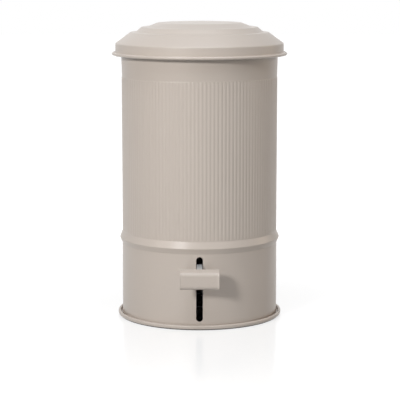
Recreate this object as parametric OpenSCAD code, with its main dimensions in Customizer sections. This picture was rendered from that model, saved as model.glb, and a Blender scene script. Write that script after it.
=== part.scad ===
// Round pedal bin of painted sheet steel: fluted body, stepped lid, front pedal, inner bucket.
// Millimetres. The body axis is Z, the floor is z = 0, the pedal faces -Y and the hinge is at +Y.

/* [Body] */
// Outer diameter of the straight body
body_d = 320; // [280:5:380]
// Thickness of the steel sheet of the body, lid and plates
sheet = 1; // [0.8:0.1:1.2]
// Height of the middle of the curled top edge of the body
curl_z = 554; // [550:1:556]
// Radius of the curled top edge
curl_r = 3; // [2.5:0.1:3.4]
// Width of the lever slot in the front
slot_w = 13.5; // [12.3:0.1:16]
// Height of the lower end of the lever slot
slot_low = 16; // [14:1:40]
// Height of the upper end of the lever slot
slot_high = 147; // [142:1:148]

/* [Flutes and bead] */
// Number of vertical flutes round the body
flute_count = 128; // [60:4:144]
// Depth of the flutes
flute_depth = 0.6; // [0.4:0.1:0.9]
// How far the fluted band is rolled in below the plain body
flute_in = 1.1; // [1:0.1:1.4]
// Height of the plain strip between the bead and the flutes
flute_gap = 5; // [2:0.5:8]
// Height of the upper ends of the flutes
flute_top = 494; // [400:1:494]
// Height of the middle of the raised bead
bead_z = 163.5; // [162:0.5:170]
// Height of the raised bead from edge to edge
bead_h = 22.5; // [22:0.5:30]
// How far the raised bead stands out
bead_out = 4.6; // [3:0.1:6]

/* [Base] */
// Gap between the body and the lip of the base ring
groove_w = 3.4; // [2:0.1:6]
// Thickness of the lip of the base ring
lip_w = 5.6; // [5:0.1:9]
// Height of the lip of the base ring above the floor
lip_h = 9.5; // [9:0.5:13]
// Thickness of the web under the body
web_t = 2; // [1.5:0.1:3]
// Width of the web inside the body
web_w = 18; // [15:1:24]
// Thickness of the rubber foot ring
foot_t = 1.5; // [1:0.1:2]
// Height of the turned-up edge of the base plate
plate_edge = 8; // [4:0.5:9]
// Number of rivets that hold the base plate to the ring
base_rivet_count = 6; // [3:1:12]

/* [Lid] */
// Gap between the body and the inside of the lid skirt
skirt_gap = 11; // [10.5:0.1:14]
// Height of the middle of the rolled edge of the lid
roll_z = 541; // [540.5:0.1:543]
// Radius of the rolled edge of the lid
roll_r = 3; // [2.5:0.1:3.3]
// Distance from the skirt to the outside of the rolled edge
roll_out = 7.1; // [6.8:0.1:10]
// Height of the top of the skirt
skirt_top = 562; // [561:0.5:570]
// Inset of the first shoulder from the skirt
shoulder_in = 31; // [28:1:36]
// Rise of the first shoulder above the skirt
shoulder_rise = 22.5; // [18:0.5:26]
// Width of the flat behind the first shoulder
shoulder_flat = 10; // [7:0.5:12]
// Inset of the second shoulder from the skirt
terrace_in = 53.5; // [52:0.5:58]
// Rise of the second shoulder above the skirt
terrace_rise = 33; // [30:0.5:36]
// Width of the flat behind the second shoulder
terrace_flat = 10.5; // [7:0.5:14]
// Inset of the edge of the top from the skirt
crown_in = 86; // [80:1:95]
// Rise of the edge of the top above the skirt
crown_rise = 41.5; // [40:0.5:48]
// Extra height of the middle of the lid over the edge of the top
crown_h = 2; // [1:0.5:6]
// Radius of the pressed corners of the lid
press_r = 4; // [2:0.5:5]

/* [Hinge] */
// Distance of the hinge axis behind the body
hinge_out = 12; // [12:0.5:13]
// Height of the hinge axis
hinge_z = 517; // [516:0.5:518]
// Diameter of the hinge pin
hinge_pin_d = 5; // [4:0.5:5.5]
// Width of the knuckle between the ears
knuckle_w = 29.2; // [26:0.2:36]
// Angle through which the lid opens
lid_angle = 80; // [70:1:82]
// Thickness of the hinge bracket and of the strap inside the lid
hinge_t = 2; // [1.5:0.1:2.4]
// Thickness of the ears of the hinge bracket
ear_t = 3; // [2.5:0.1:3.4]
// Thickness of the crank that the push rod lifts
crank_t = 3; // [2.5:0.1:3.4]

/* [Rod and lever] */
// Diameter of the push rod
rod_d = 5; // [4.5:0.1:5]
// Distance of the push rod from the outside of the body
rod_in = 5.5; // [5.3:0.1:6]
// Sideways place of the push rod
rod_x = 10; // [9.5:0.5:11]
// Lift of the push rod
rod_lift = 27.9; // [26:0.1:28]
// Distance of the lever pivot behind the middle of the body
pivot_y = 50; // [45:1:55]
// Height of the lever pivot
pivot_z = 80; // [76:1:84]
// Outer width of the lever channel
lever_w = 11; // [10:0.5:11.2]
// Height of the lever channel
lever_h = 12; // [11:0.5:13]
// Sheet thickness of the lever channel
lever_t = 1.5; // [1:0.1:2]
// Height of the top of the lever in the front slot
lever_top = 132; // [124:0.5:133]
// Angle by which the lever dips outside the body
lever_dip = 12; // [0:1:14]
// Diameter of the lever pin
lever_pin_d = 6; // [5:0.5:6]

/* [Pedal] */
// Width of the pedal plate
pedal_w = 78; // [50:1:100]
// Thickness of the pedal plate
pedal_t = 2; // [1.5:0.1:3]
// Distance from the body to the back edge of the pedal
pedal_back = 27; // [25:1:30]
// Length of the top of the pedal, which lies on the lever
pedal_top = 20; // [18:1:24]
// Drop of the face of the pedal
pedal_drop = 34; // [26:0.5:36]
// How far the face of the pedal leans forward
pedal_lean = 1; // [0:1:12]
// Length of the straight lower edge of the pedal behind its bend
pedal_lip = 1; // [0.5:0.5:6]
// Radius of the bend between the top and the face of the pedal
pedal_bend = 9; // [8:1:14]
// Radius of the bend at the lower edge of the pedal
pedal_toe = 7; // [4:0.5:7]
// Radius of the corners of the pedal plate
pedal_corner = 4; // [2:0.5:10]

/* [Bucket] */
// Gap between the body wall and the rim of the bucket
bucket_gap = 20; // [19:1:40]
// Height of the bucket
bucket_h = 341; // [250:1:342]
// Wall of the bucket
bucket_t = 1.8; // [1.5:0.1:3]
// How much the radius of the bucket grows from floor to rim
bucket_taper = 10; // [4:1:20]
// Width of the flange of the bucket rim
bucket_flange = 4; // [3:0.5:6]
// Diameter of the bail wire
bail_d = 4; // [3:0.5:4.5]
// Gap between the bucket rim and the bail wire
bail_gap = 4; // [3.5:0.5:4.5]
// Diameter of the grip on the bail
grip_d = 9; // [8:0.5:9.5]
// Angle that the grip covers
grip_angle = 36; // [20:1:60]

/* [Hidden] */
$fn = 96;
fine_fn = 360;        // for the thin body wall
profile_fn = 48;      // for the rounds in the outline of that wall

paint = "#b9aea2";
zinc = "#b4b6b8";
dark_plastic = "#3a3a3c";
rubber = "#262626";

run_gap = 0.3;        // between pieces that move past each other
pin_gap = 0.05;       // radial, round a pin that turns
rivet_gap = 0.1;      // radial, round a rivet or screw
snug_gap = 0.02;      // radial, round a piece that is pressed on
cut = 1;              // how far a cutter reaches past what it cuts
through = 100;        // length of a cutter that goes right through a piece

body_r = body_d / 2;
wall_r = body_r - sheet;
bead_low = bead_z - bead_h / 2;
bead_top = bead_z + bead_h / 2;
bead_arc = (bead_h * bead_h / 4 + bead_out * bead_out) / (2 * bead_out);
bead_mid = body_r + bead_out - bead_arc;
flute_low = bead_top + flute_gap;
band_r = body_r - flute_in;
flute_root = 0.05;    // how far the flutes start below the surface of the band
flute_steps = 6;      // straight faces to each flute
curl_mid = wall_r + sheet / 2 + curl_r;

lip_in = body_r + groove_w;
lip_out = lip_in + lip_w;
seat_z = foot_t + web_t;
web_in = body_r - web_w;
foot_in = body_r - 5;
foot_out = lip_out - 3;
plate_gap = 0.2;      // between the base plate and the body
plate_z = seat_z + sheet;
screw_r = 2;          // of the screws and the shanks of the rivets
rivet_head_t = 1.6;
floor_gap = 0.4;      // between the base rivets and the floor
base_rivet_r = web_in + 6.5;
shelf_t = 1.2;
shelf_z = bead_z + shelf_t / 2;
shelf_gap = 0.7;      // between the shelf plate and the inside of the bead
shelf_r = body_r + bead_out - sheet - shelf_gap;
shelf_ring_w = 4;     // stiffening ring under the shelf plate
shelf_ring_h = 3;
shelf_hole_gap = 1.5; // radial, round the push rod

skirt_r = body_r + skirt_gap + sheet;
roll_mid = skirt_r + roll_out - roll_r;
lid_top = skirt_top + crown_rise + crown_h;

hinge_y = body_r + hinge_out;
hinge_axis = [0, hinge_y, hinge_z];
half_swing = lid_angle / 2;
rod_y = body_r - rod_in;
crank_reach = hinge_y - rod_y;
crank_far = crank_reach / cos(half_swing);
rod_top = hinge_z - rod_lift / 2;
crank_slot_gap = 0.9; // radial, between the rod and the slot of the crank
crank_slot_r = rod_d / 2 + crank_slot_gap;
crank_wall = 2.5;     // of the crank round its slot
crank_end_r = crank_slot_r + crank_wall;
crank_waist = 0.8;    // how much slimmer the arm of the crank is, on each side
window_gap = 2.2;     // round the crank in the body wall
crank_window_w = crank_t + 2 * window_gap;
crank_window_h = 2 * (hinge_out + sheet) * tan(half_swing) + 2 * (crank_end_r + window_gap);
window_in = 10;       // how far the window's cutter starts inside the wall
knuckle_gap = 0.4;    // between the knuckle and each ear
ear_in = knuckle_w / 2 + knuckle_gap;
knuckle_r = hinge_pin_d / 2 + 2.5;
crank_eye_r = knuckle_r + 1;
ear_r = knuckle_r + 2;
ear_root = 6;         // how much the ears spread towards the body
bracket_r = body_r + pin_gap;
bracket_h = 44;
plate_low = hinge_z - bracket_h / 2;
screw_edge = 6;       // between a screw and an ear or an edge
screw_x = ear_in + ear_t + screw_edge;
screw_angle = asin(screw_x / body_r);
plate_angle = asin((screw_x + screw_edge) / body_r);
screw_rise = 14;      // of the screws above and below the hinge axis
screw_head_r = 1.9 * screw_r;
screw_head_h = 2.2;
socket_r = 1.25;      // six-sided socket of the screws
socket_depth = 1.3;
nut_r = 2 * screw_r;
nut_h = 1.6 * screw_r;
thread_end = 1.8;     // of a screw beyond its nut
pin_head_r = hinge_pin_d / 2 + 1.5;
pin_head_h = 1.9;
pin_end = 4;          // of a pin beyond what it joins
strap_angle = asin((knuckle_w / 2 - run_gap) / (skirt_r - sheet));
lid_rivet_z = roll_z + 10.6;
lid_rivet_turn = 3.2;
lid_head_t = 1;       // of the lid rivets, outside
bumper_count = 3;
bumper_angle = 7;
bumper_wall = 1.5;    // of a bumper beside the curl
bumper_slope = shoulder_rise / shoulder_in;
press_steps = 4;      // straight faces to each pressed corner
bend_steps = 8;       // straight faces to each bend of the pedal

bend_r = 5;           // of the middle of the rod
hook_back = 2 * bend_r;
hook_y = rod_y - hook_back;
arm = hook_y - pivot_y;
arm_angle = atan(rod_lift / 2 / arm);
rod_low = pivot_z - rod_lift / 2;
lever_slot_r = rod_d / 2 + run_gap;
arm_mid = (arm + arm / cos(arm_angle)) / 2;
arm_slack = (arm / cos(arm_angle) - arm) / 2 + run_gap;
arm_end = arm_mid + arm_slack + lever_slot_r + 3;
lever_turn_in = 2;    // how far inside the body the lever turns down
lever_turn = [-(body_r - lever_turn_in), lever_top - lever_h / 2];
pedal_tilt = atan(pedal_lean / pedal_drop);
pedal_bend_l = pedal_bend * tan((90 - lever_dip - pedal_tilt) / 2);
pedal_toe_l = pedal_toe * tan((90 + pedal_tilt) / 2);
lever_short = 1.1;    // how far the lever ends before the bend of the pedal
lever_out = lever_turn_in + pedal_back + pedal_top - pedal_bend_l - lever_short;
lever_path = [
    lever_front(lever_out, 0),
    lever_turn,
    [pivot_y, pivot_z],
    [pivot_y + arm_end * cos(arm_angle), pivot_z - arm_end * sin(arm_angle)]
];
bush_r = lever_pin_d / 2 + 1;
bush_flange_r = bush_r + 1.8;
bush_flange_t = 0.7;
bush_lip = 0.5;       // of a bush inside the channel
fork_in = lever_w / 2 + bush_flange_t + run_gap;
fork_t = 2;
fork_l = 50;
fork_top_r = 9;
fork_side_h = 12;     // straight part of the sides of the fork
fork_foot = 16;
fork_rivet_x = fork_in + fork_t + 9;
fork_rivet_y = 15;
clip_t = 1;
clip_gap = 0.2;       // between a clip and what it holds
clip_rim = 2;
clip_mouth = 1.4;
groove_depth = 0.8;
groove_x = fork_in + fork_t + clip_gap + clip_t / 2;
rod_clip_gap = 1;     // between a clip on the rod and what it holds
hook_end = 1.6;       // of the rod beyond its clip

rim_r = wall_r - bucket_gap + 1;
bucket_top_r = rim_r - bucket_flange;
bucket_low_r = bucket_top_r - bucket_taper;
bucket_z = shelf_z + run_gap;
bucket_top = bucket_z + bucket_h;
bail_z = bucket_top - 10;
bail_r = rim_r + bail_gap + bail_d / 2;
bail_lap = 1;         // angle by which the bow laps its end pins
pin_in = bucket_top_r - 3;
lug_root = 1.4;       // of a lug inside the wall of the bucket
lug_out = 8;
lug_w = 18;
lug_h = 14;

guide_w = 14;
guide_h = 12;
guide_wall = 2;
guide_in = rod_y - rod_d / 2 - run_gap - guide_wall;
guide_end = 73;       // from the bead and from the top of the flutes to the guides
guide_heights = [bead_top + guide_end, flute_top - guide_end];

// A point at the distance s along the front of the lever, at the height h above its middle
function lever_front(s, h) =
    lever_turn + s * [-cos(lever_dip), -sin(lever_dip)] + h * [-sin(lever_dip), cos(lever_dip)];

function unit(v) = v / norm(v);
function left_of(v) = unit([-v.y, v.x]);

// The path moved sideways by d, to the left of its direction
function beside(path, d) = [
    for (i = [0:len(path) - 1])
        let (
            before = left_of(path[max(i, 1)] - path[max(i, 1) - 1]),
            after = left_of(path[min(i, len(path) - 2) + 1] - path[min(i, len(path) - 2)]),
            middle = unit(before + after)
        )
        path[i] + middle * d / (middle * before)
];

// Points of an arc of radius r that rounds the corner b
function corner(a, b, c, r, steps) =
    let (
        u = unit(a - b),
        w = unit(c - b),
        half = acos(u * w) / 2,
        reach = r / tan(half),
        centre = b + unit(u + w) * r / sin(half)
    )
    [
        for (i = [0:steps])
            let (chord = b + u * reach * (1 - i / steps) + w * reach * i / steps)
            centre + unit(chord - centre) * r
    ];

function backwards(path) = [for (i = [len(path) - 1:-1:0]) path[i]];

// A strip of the given thickness to the left of a path
module strip(path, thickness) {
    polygon(concat(path, backwards(beside(path, thickness))));
}

// Extrudes a drawing of the Y-Z plane along X, to both sides of x = 0
module across(width) {
    rotate([90, 0, 90]) linear_extrude(width, center = true) children();
}

// A piece of a ring, with its middle at +Y
module ring_piece(angle) {
    rotate([0, 0, 90 - angle / 2]) rotate_extrude(angle = angle) children();
}

// A round-ended slot drawn along Y, length measured between the middles of its ends
module long_hole(r, length) {
    translate([-r, -length / 2]) square([2 * r, length]);
    for (end = [-1, 1]) translate([0, end * length / 2]) circle(r = r);
}

// A rivet with its shank along +Y and its middle at the origin
module rivet(r, grip, head_in, head_out) {
    rotate([-90, 0, 0]) {
        translate([0, 0, -(grip + head_in) / 2]) cylinder(r = r, h = grip + (head_in + head_out) / 2);
        translate([0, 0, grip / 2]) cylinder(r = 2 * r, h = head_out);
        translate([0, 0, -grip / 2 - head_in]) cylinder(r = 2 * r, h = head_in);
    }
}

module body_wall() {
    difference() {
        union() {
            translate([wall_r, seat_z]) square([sheet, curl_z - seat_z]);
            translate([band_r - sheet, flute_low - sheet])
                square([body_r - band_r, flute_top - flute_low + 2 * sheet]);
            intersection() {
                translate([bead_mid, bead_z]) circle(r = bead_arc);
                translate([wall_r, bead_low]) square([2 * bead_out, bead_h]);
            }
            translate([curl_mid, curl_z]) circle(r = curl_r);
        }
        intersection() {
            translate([bead_mid, bead_z]) circle(r = bead_arc - sheet);
            translate([wall_r - cut, bead_low]) square([2 * bead_out, bead_h - sheet]);
        }
        translate([band_r, flute_low]) square([body_r - band_r + cut, flute_top - flute_low]);
    }
}

// The outline of the body at the flutes: half-round ribs with sharp valleys
function flute_outline() = [
    for (i = [0:flute_count * flute_steps - 1])
        let (
            turn = i * 360 / (flute_count * flute_steps),
            rib = sin(180 * (i % flute_steps) / flute_steps),
            r = band_r - flute_root + (flute_depth + flute_root) * rib
        )
        [r * cos(turn), r * sin(turn)]
];

module flutes() {
    translate([0, 0, flute_low]) linear_extrude(flute_top - flute_low) difference() {
        polygon(flute_outline());
        circle(r = band_r - sheet / 2, $fn = fine_fn);
    }
}

module body_shell() {
    slot_h = slot_high - slot_low - slot_w;
    color(paint) difference() {
        union() {
            rotate_extrude($fn = fine_fn) body_wall($fn = profile_fn);
            flutes();
        }
        translate([0, -body_r, (slot_low + slot_high) / 2]) rotate([90, 0, 0])
            linear_extrude(through, center = true) long_hole(slot_w / 2, slot_h);
        crank_window();
        hinge_screw_holes();
    }
}

// The opening through which the crank reaches the push rod
module crank_window() {
    translate([-crank_window_w / 2, wall_r - window_in, hinge_z - crank_window_h / 2])
        cube([crank_window_w, window_in + hinge_out - knuckle_r, crank_window_h]);
}

module base_ring() {
    round_r = lip_w / 2;
    color(paint) difference() {
        rotate_extrude() {
            translate([lip_in, foot_t]) square([lip_w, lip_h - round_r - foot_t]);
            translate([lip_in + round_r, lip_h - round_r]) circle(r = round_r);
            translate([web_in, foot_t]) square([lip_in + round_r - web_in, web_t]);
        }
        base_rivet_places() rivet_hole();
    }
}

module foot_ring() {
    color(rubber) rotate_extrude() translate([foot_in, 0]) square([foot_out - foot_in, foot_t]);
}

module rivet_hole() {
    cylinder(r = screw_r + rivet_gap, h = through, center = true);
}

module base_rivet_places() {
    for (i = [0:base_rivet_count - 1])
        rotate([0, 0, (i + 0.5) * 360 / base_rivet_count]) translate([base_rivet_r, 0, 0]) children();
}

module base_plate() {
    color(zinc) difference() {
        rotate_extrude() {
            edge_r = wall_r - plate_gap;
            translate([0, seat_z]) square([edge_r, sheet]);
            translate([edge_r - sheet, seat_z]) square([sheet, plate_edge]);
        }
        base_rivet_places() rivet_hole();
        fulcrum_rivet_places() rivet_hole();
    }
}

module base_rivets() {
    grip = web_t + sheet;
    color(zinc) base_rivet_places() translate([0, 0, foot_t + grip / 2])
        rotate([90, 0, 0]) rivet(screw_r, grip, foot_t - floor_gap, rivet_head_t);
}

module shelf_plate() {
    ring_r = bucket_low_r - 5;
    color(zinc) difference() {
        rotate_extrude() {
            translate([0, shelf_z - shelf_t]) square([shelf_r, shelf_t]);
            translate([ring_r - shelf_ring_w, shelf_z - shelf_t - shelf_ring_h])
                square([shelf_ring_w, shelf_ring_h + shelf_t / 2]);
        }
        translate([rod_x, rod_y, shelf_z])
            cylinder(r = rod_d / 2 + shelf_hole_gap, h = through, center = true);
    }
}

module fulcrum_rivet_places() {
    for (sx = [-1, 1], sy = [-1, 1])
        translate([sx * fork_rivet_x, pivot_y + sy * fork_rivet_y, 0]) children();
}

module fulcrum_bracket() {
    fork_w = fork_in + fork_t;
    color(zinc) difference() {
        union() {
            for (side = [-1, 1])
                translate([side * (fork_in + fork_t / 2), 0, 0]) across(fork_t) {
                    polygon([
                        [pivot_y - fork_l / 2, plate_z],
                        [pivot_y + fork_l / 2, plate_z],
                        [pivot_y + fork_l / 2, plate_z + fork_side_h],
                        [pivot_y + fork_top_r, pivot_z],
                        [pivot_y - fork_top_r, pivot_z],
                        [pivot_y - fork_l / 2, plate_z + fork_side_h]
                    ]);
                    translate([pivot_y, pivot_z]) circle(r = fork_top_r);
                }
            translate([-fork_w - fork_foot, pivot_y - fork_l / 2, plate_z])
                cube([2 * (fork_w + fork_foot), fork_l, fork_t]);
        }
        translate([0, pivot_y, pivot_z]) rotate([0, 90, 0])
            cylinder(r = lever_pin_d / 2 + pin_gap, h = through, center = true);
        fulcrum_rivet_places() rivet_hole();
    }
}

module fulcrum_rivets() {
    grip = sheet + fork_t;
    color(zinc) fulcrum_rivet_places() translate([0, 0, seat_z + grip / 2])
        rotate([90, 0, 0]) rivet(screw_r, grip, rivet_head_t, rivet_head_t);
}

// What is turned off a pin of radius r where a clip snaps in
module groove(r) {
    difference() {
        cylinder(r = r + cut, h = clip_t, center = true);
        cylinder(r = r - groove_depth, h = clip_t + cut, center = true);
    }
}

module lever_pin() {
    pin_l = 2 * (fork_in + fork_t + pin_end);
    color(zinc) translate([0, pivot_y, pivot_z]) rotate([0, 90, 0]) difference() {
        cylinder(r = lever_pin_d / 2, h = pin_l, center = true);
        for (end = [-1, 1]) translate([0, 0, end * groove_x]) groove(lever_pin_d / 2);
    }
}

// A split washer that snaps into the groove of a pin of radius r along X
module spring_clip(r) {
    groove_r = r - groove_depth;
    outer_r = r + clip_rim;
    rotate([0, 90, 0]) difference() {
        cylinder(r = outer_r, h = clip_t - 2 * pin_gap, center = true);
        cylinder(r = groove_r + pin_gap, h = clip_t + cut, center = true);
        translate([outer_r / 2, 0, 0]) cube([outer_r, clip_mouth * groove_r, clip_t + cut], center = true);
    }
}

module lever_pin_clips() {
    color(zinc) for (end = [-1, 1])
        translate([end * groove_x, pivot_y, pivot_z]) spring_clip(lever_pin_d / 2);
}

module rod_guides() {
    color(dark_plastic) for (z = guide_heights) difference() {
        intersection() {
            translate([rod_x - guide_w / 2, guide_in, z - guide_h / 2])
                cube([guide_w, wall_r - guide_in, guide_h]);
            translate([0, 0, z - guide_h]) cylinder(r = band_r - sheet, h = 2 * guide_h, $fn = fine_fn);
        }
        translate([rod_x, rod_y, z]) cylinder(r = rod_d / 2 + run_gap, h = 2 * guide_h, center = true);
    }
}

module hinge_screw_places() {
    for (level = [-1, 1], side = [-1, 1])
        rotate([0, 0, side * screw_angle]) translate([0, body_r, hinge_z + level * screw_rise]) children();
}

module hinge_screw_holes() {
    hinge_screw_places() rotate([90, 0, 0]) rivet_hole();
}

module hinge_pin_hole() {
    translate(hinge_axis) rotate([0, 90, 0])
        cylinder(r = hinge_pin_d / 2 + pin_gap, h = through, center = true);
}

module hinge_bracket() {
    color(paint) difference() {
        union() {
            ring_piece(2 * plate_angle) translate([bracket_r, plate_low]) square([hinge_t, bracket_h]);
            for (side = [-1, 1])
                translate([side * (ear_in + ear_t / 2), 0, 0]) across(ear_t) {
                    polygon([
                        [body_r + hinge_t / 2, hinge_z - ear_r - ear_root],
                        [hinge_y, hinge_z - ear_r],
                        [hinge_y, hinge_z + ear_r],
                        [body_r + hinge_t / 2, hinge_z + ear_r + ear_root]
                    ]);
                    translate([hinge_y, hinge_z]) circle(r = ear_r);
                }
        }
        crank_window();
        hinge_pin_hole();
        hinge_screw_holes();
    }
}

module hinge_screws() {
    shank = hinge_t + sheet + nut_h + thread_end;
    head_z = hinge_t + 2 * pin_gap;
    color(zinc) hinge_screw_places() rotate([-90, 0, 0]) difference() {
        union() {
            translate([0, 0, head_z - shank]) cylinder(r = screw_r, h = shank + screw_head_h / 4);
            translate([0, 0, head_z]) cylinder(r = screw_head_r, h = screw_head_h);
        }
        translate([0, 0, head_z + screw_head_h - socket_depth]) cylinder(r = socket_r, h = through, $fn = 6);
    }
}

module hinge_nuts() {
    color(zinc) hinge_screw_places() rotate([90, 0, 0]) difference() {
        translate([0, 0, sheet + 2 * pin_gap]) cylinder(r = nut_r, h = nut_h, $fn = 6);
        cylinder(r = screw_r + pin_gap, h = through, center = true);
    }
}

module hinge_pin() {
    ear_out = ear_in + ear_t;
    color(zinc) translate(hinge_axis) rotate([0, 90, 0]) difference() {
        union() {
            translate([0, 0, -ear_out - pin_head_h / 2])
                cylinder(r = hinge_pin_d / 2, h = 2 * ear_out + pin_head_h / 2 + pin_end);
            translate([0, 0, -ear_out - 2 * pin_gap - pin_head_h]) cylinder(r = pin_head_r, h = pin_head_h);
        }
        translate([0, 0, ear_out + clip_gap + clip_t / 2]) groove(hinge_pin_d / 2);
    }
}

module hinge_pin_clip() {
    color(zinc) translate(hinge_axis + [ear_in + ear_t + clip_gap + clip_t / 2, 0, 0])
        spring_clip(hinge_pin_d / 2);
}

// Height of the underside of the first slope of the lid at radius r, less the running gap
function bumper_top(r) =
    skirt_top + bumper_slope * (skirt_r - r) - (sheet + run_gap) * norm([1, bumper_slope]);

module lid_bumpers() {
    bumper_in = curl_mid - curl_r - bumper_wall;
    bumper_out = curl_mid + curl_r + bumper_wall;
    color(rubber) for (i = [0:bumper_count - 1])
        rotate([0, 0, (i + 0.5) * 360 / bumper_count]) ring_piece(bumper_angle) difference() {
            polygon([
                [bumper_in, curl_z],
                [bumper_out, curl_z],
                [bumper_out, bumper_top(bumper_out)],
                [bumper_in, bumper_top(bumper_in)]
            ]);
            translate([curl_mid, curl_z]) circle(r = curl_r + snug_gap);
        }
}

module pedal_lever() {
    hollow_path = [lever_front(lever_out + cut, 0), for (i = [1:len(lever_path) - 1]) lever_path[i]];
    color(zinc) difference() {
        across(lever_w) polygon(concat(
            beside(lever_path, lever_h / 2),
            backwards(beside(lever_path, -lever_h / 2))
        ));
        across(lever_w - 2 * lever_t) polygon(concat(
            beside(hollow_path, lever_h / 2 - lever_t),
            backwards(beside(hollow_path, -lever_h))
        ));
        translate([0, pivot_y, pivot_z]) rotate([0, 90, 0])
            cylinder(r = bush_r + snug_gap, h = through, center = true);
        translate([0, pivot_y, pivot_z]) rotate([-arm_angle, 0, 0]) across(through)
            translate([arm_mid, 0]) rotate([0, 0, 90]) long_hole(lever_slot_r, 2 * arm_slack);
    }
}

module lever_bushes() {
    inner = lever_w / 2 - lever_t - bush_lip;
    color(dark_plastic) for (side = [-1, 1])
        translate([0, pivot_y, pivot_z]) rotate([0, side * 90, 0]) difference() {
            union() {
                translate([0, 0, inner]) cylinder(r = bush_r, h = lever_t + bush_lip + bush_flange_t / 2);
                translate([0, 0, lever_w / 2]) cylinder(r = bush_flange_r, h = bush_flange_t);
            }
            cylinder(r = lever_pin_d / 2 + pin_gap, h = through, center = true);
        }
}

module pedal_plate() {
    seat = lever_turn_in + pedal_back;
    height = lever_h / 2 + pedal_t;
    back = lever_front(seat, height);
    brow = lever_front(seat + pedal_top, height);
    toe = brow - [pedal_lean, pedal_drop];
    lip = toe + [pedal_toe_l + pedal_lip, 0];
    outer = [
        back,
        each corner(back, brow, toe, pedal_bend, bend_steps),
        each corner(brow, toe, lip, pedal_toe, bend_steps),
        lip
    ];
    color(paint) intersection() {
        across(pedal_w) strip(outer, pedal_t);
        translate([0, 0, toe.y]) rotate([90, 0, 0]) linear_extrude(-brow.x * 2) {
            translate([-pedal_w / 2, pedal_corner]) square([pedal_w, pedal_drop * 2]);
            translate([-pedal_w / 2 + pedal_corner, 0]) square([pedal_w - 2 * pedal_corner, pedal_drop * 2]);
            for (side = [-1, 1])
                translate([side * (pedal_w / 2 - pedal_corner), pedal_corner]) circle(r = pedal_corner);
        }
    }
}

// A quarter bend that starts at the origin going down and ends going to -X
module bend() {
    translate([-bend_r, 0, 0]) rotate([-90, 0, 0]) rotate_extrude(angle = 90)
        translate([bend_r, 0]) circle(r = rod_d / 2);
}

module push_rod() {
    past = rod_clip_gap + clip_t + hook_end;
    top_hook = rod_x - bend_r + crank_t / 2 + past;
    low_hook = rod_x - bend_r + lever_w / 2 + past;
    color(zinc) difference() {
        union() {
            translate([rod_x, rod_y, rod_low + bend_r])
                cylinder(r = rod_d / 2, h = rod_top - rod_low - 2 * bend_r);
            translate([rod_x, rod_y, rod_top - bend_r]) mirror([0, 0, 1]) bend();
            translate([rod_x - bend_r - top_hook, rod_y, rod_top]) rotate([0, 90, 0])
                cylinder(r = rod_d / 2, h = top_hook);
            translate([rod_x, rod_y, rod_low + bend_r]) rotate([0, 0, 90]) bend();
            translate([rod_x, rod_y - bend_r, rod_low]) rotate([-90, 0, 0]) bend();
            translate([rod_x - bend_r - low_hook, hook_y, rod_low]) rotate([0, 90, 0])
                cylinder(r = rod_d / 2, h = low_hook);
        }
        rod_clip_places() rotate([0, 90, 0]) groove(rod_d / 2);
    }
}

module rod_clip_places() {
    past = rod_clip_gap + clip_t / 2;
    translate([-(crank_t / 2 + past), rod_y, rod_top]) children();
    translate([-(lever_w / 2 + past), hook_y, rod_low]) children();
}

module rod_clips() {
    color(zinc) rod_clip_places() spring_clip(rod_d / 2);
}

module lid_shell() {
    rise_path = [
        [roll_mid, roll_z + sheet / 2],
        [skirt_r, roll_z + sheet / 2],
        [skirt_r, skirt_top],
        [skirt_r - shoulder_in, skirt_top + shoulder_rise],
        [skirt_r - shoulder_in - shoulder_flat, skirt_top + shoulder_rise],
        [skirt_r - terrace_in, skirt_top + terrace_rise],
        [skirt_r - terrace_in - terrace_flat, skirt_top + terrace_rise],
        [skirt_r - crown_in, skirt_top + crown_rise],
        [skirt_r / 4, lid_top],
        [0, lid_top]
    ];
    last = len(rise_path) - 1;
    pressed = [
        rise_path[0],
        rise_path[1],
        for (i = [2:last - 2])
            each corner(rise_path[i - 1], rise_path[i], rise_path[i + 1], press_r, press_steps),
        rise_path[last - 1],
        rise_path[last]
    ];
    color(paint) difference() {
        rotate_extrude() {
            strip(pressed, sheet);
            translate([roll_mid, roll_z]) circle(r = roll_r);
        }
        lid_rivet_places() rotate([90, 0, 0]) rivet_hole();
    }
}

module lid_rivet_places() {
    for (step = [-1:1])
        rotate([0, 0, step * lid_rivet_turn]) translate([0, skirt_r - sheet, lid_rivet_z]) children();
}

module lid_bracket() {
    color(zinc) difference() {
        union() {
            ring_piece(2 * strap_angle) translate([skirt_r - sheet - hinge_t, hinge_z])
                square([hinge_t, skirt_top - press_r - hinge_z]);
            translate(hinge_axis) rotate([0, 90, 0]) cylinder(r = knuckle_r, h = knuckle_w, center = true);
        }
        hinge_pin_hole();
        translate(hinge_axis) cube([crank_t, 2 * ear_r, 2 * (crank_eye_r + pin_gap)], center = true);
        lid_rivet_places() rotate([90, 0, 0]) rivet_hole();
    }
}

module lid_crank() {
    slot_mid = (crank_reach + crank_far) / 2;
    slot_l = crank_far - crank_reach + 2 * run_gap;
    waist_r = crank_end_r - crank_waist;
    color(zinc) translate(hinge_axis) rotate([half_swing, 0, 0]) difference() {
        across(crank_t) {
            circle(r = crank_eye_r);
            translate([-slot_mid, 0]) rotate([0, 0, 90]) long_hole(crank_end_r, slot_l);
            translate([-slot_mid, -waist_r]) square([slot_mid, 2 * waist_r]);
        }
        rotate([0, 90, 0]) cylinder(r = hinge_pin_d / 2 + pin_gap, h = through, center = true);
        across(through) translate([-slot_mid, 0]) rotate([0, 0, 90]) long_hole(crank_slot_r, slot_l);
    }
}

module lid_rivets() {
    grip = hinge_t + sheet + 2 * pin_gap;
    color(zinc) lid_rivet_places() translate([0, (sheet - hinge_t) / 2, 0])
        rivet(screw_r, grip, rivet_head_t, lid_head_t);
}

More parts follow.
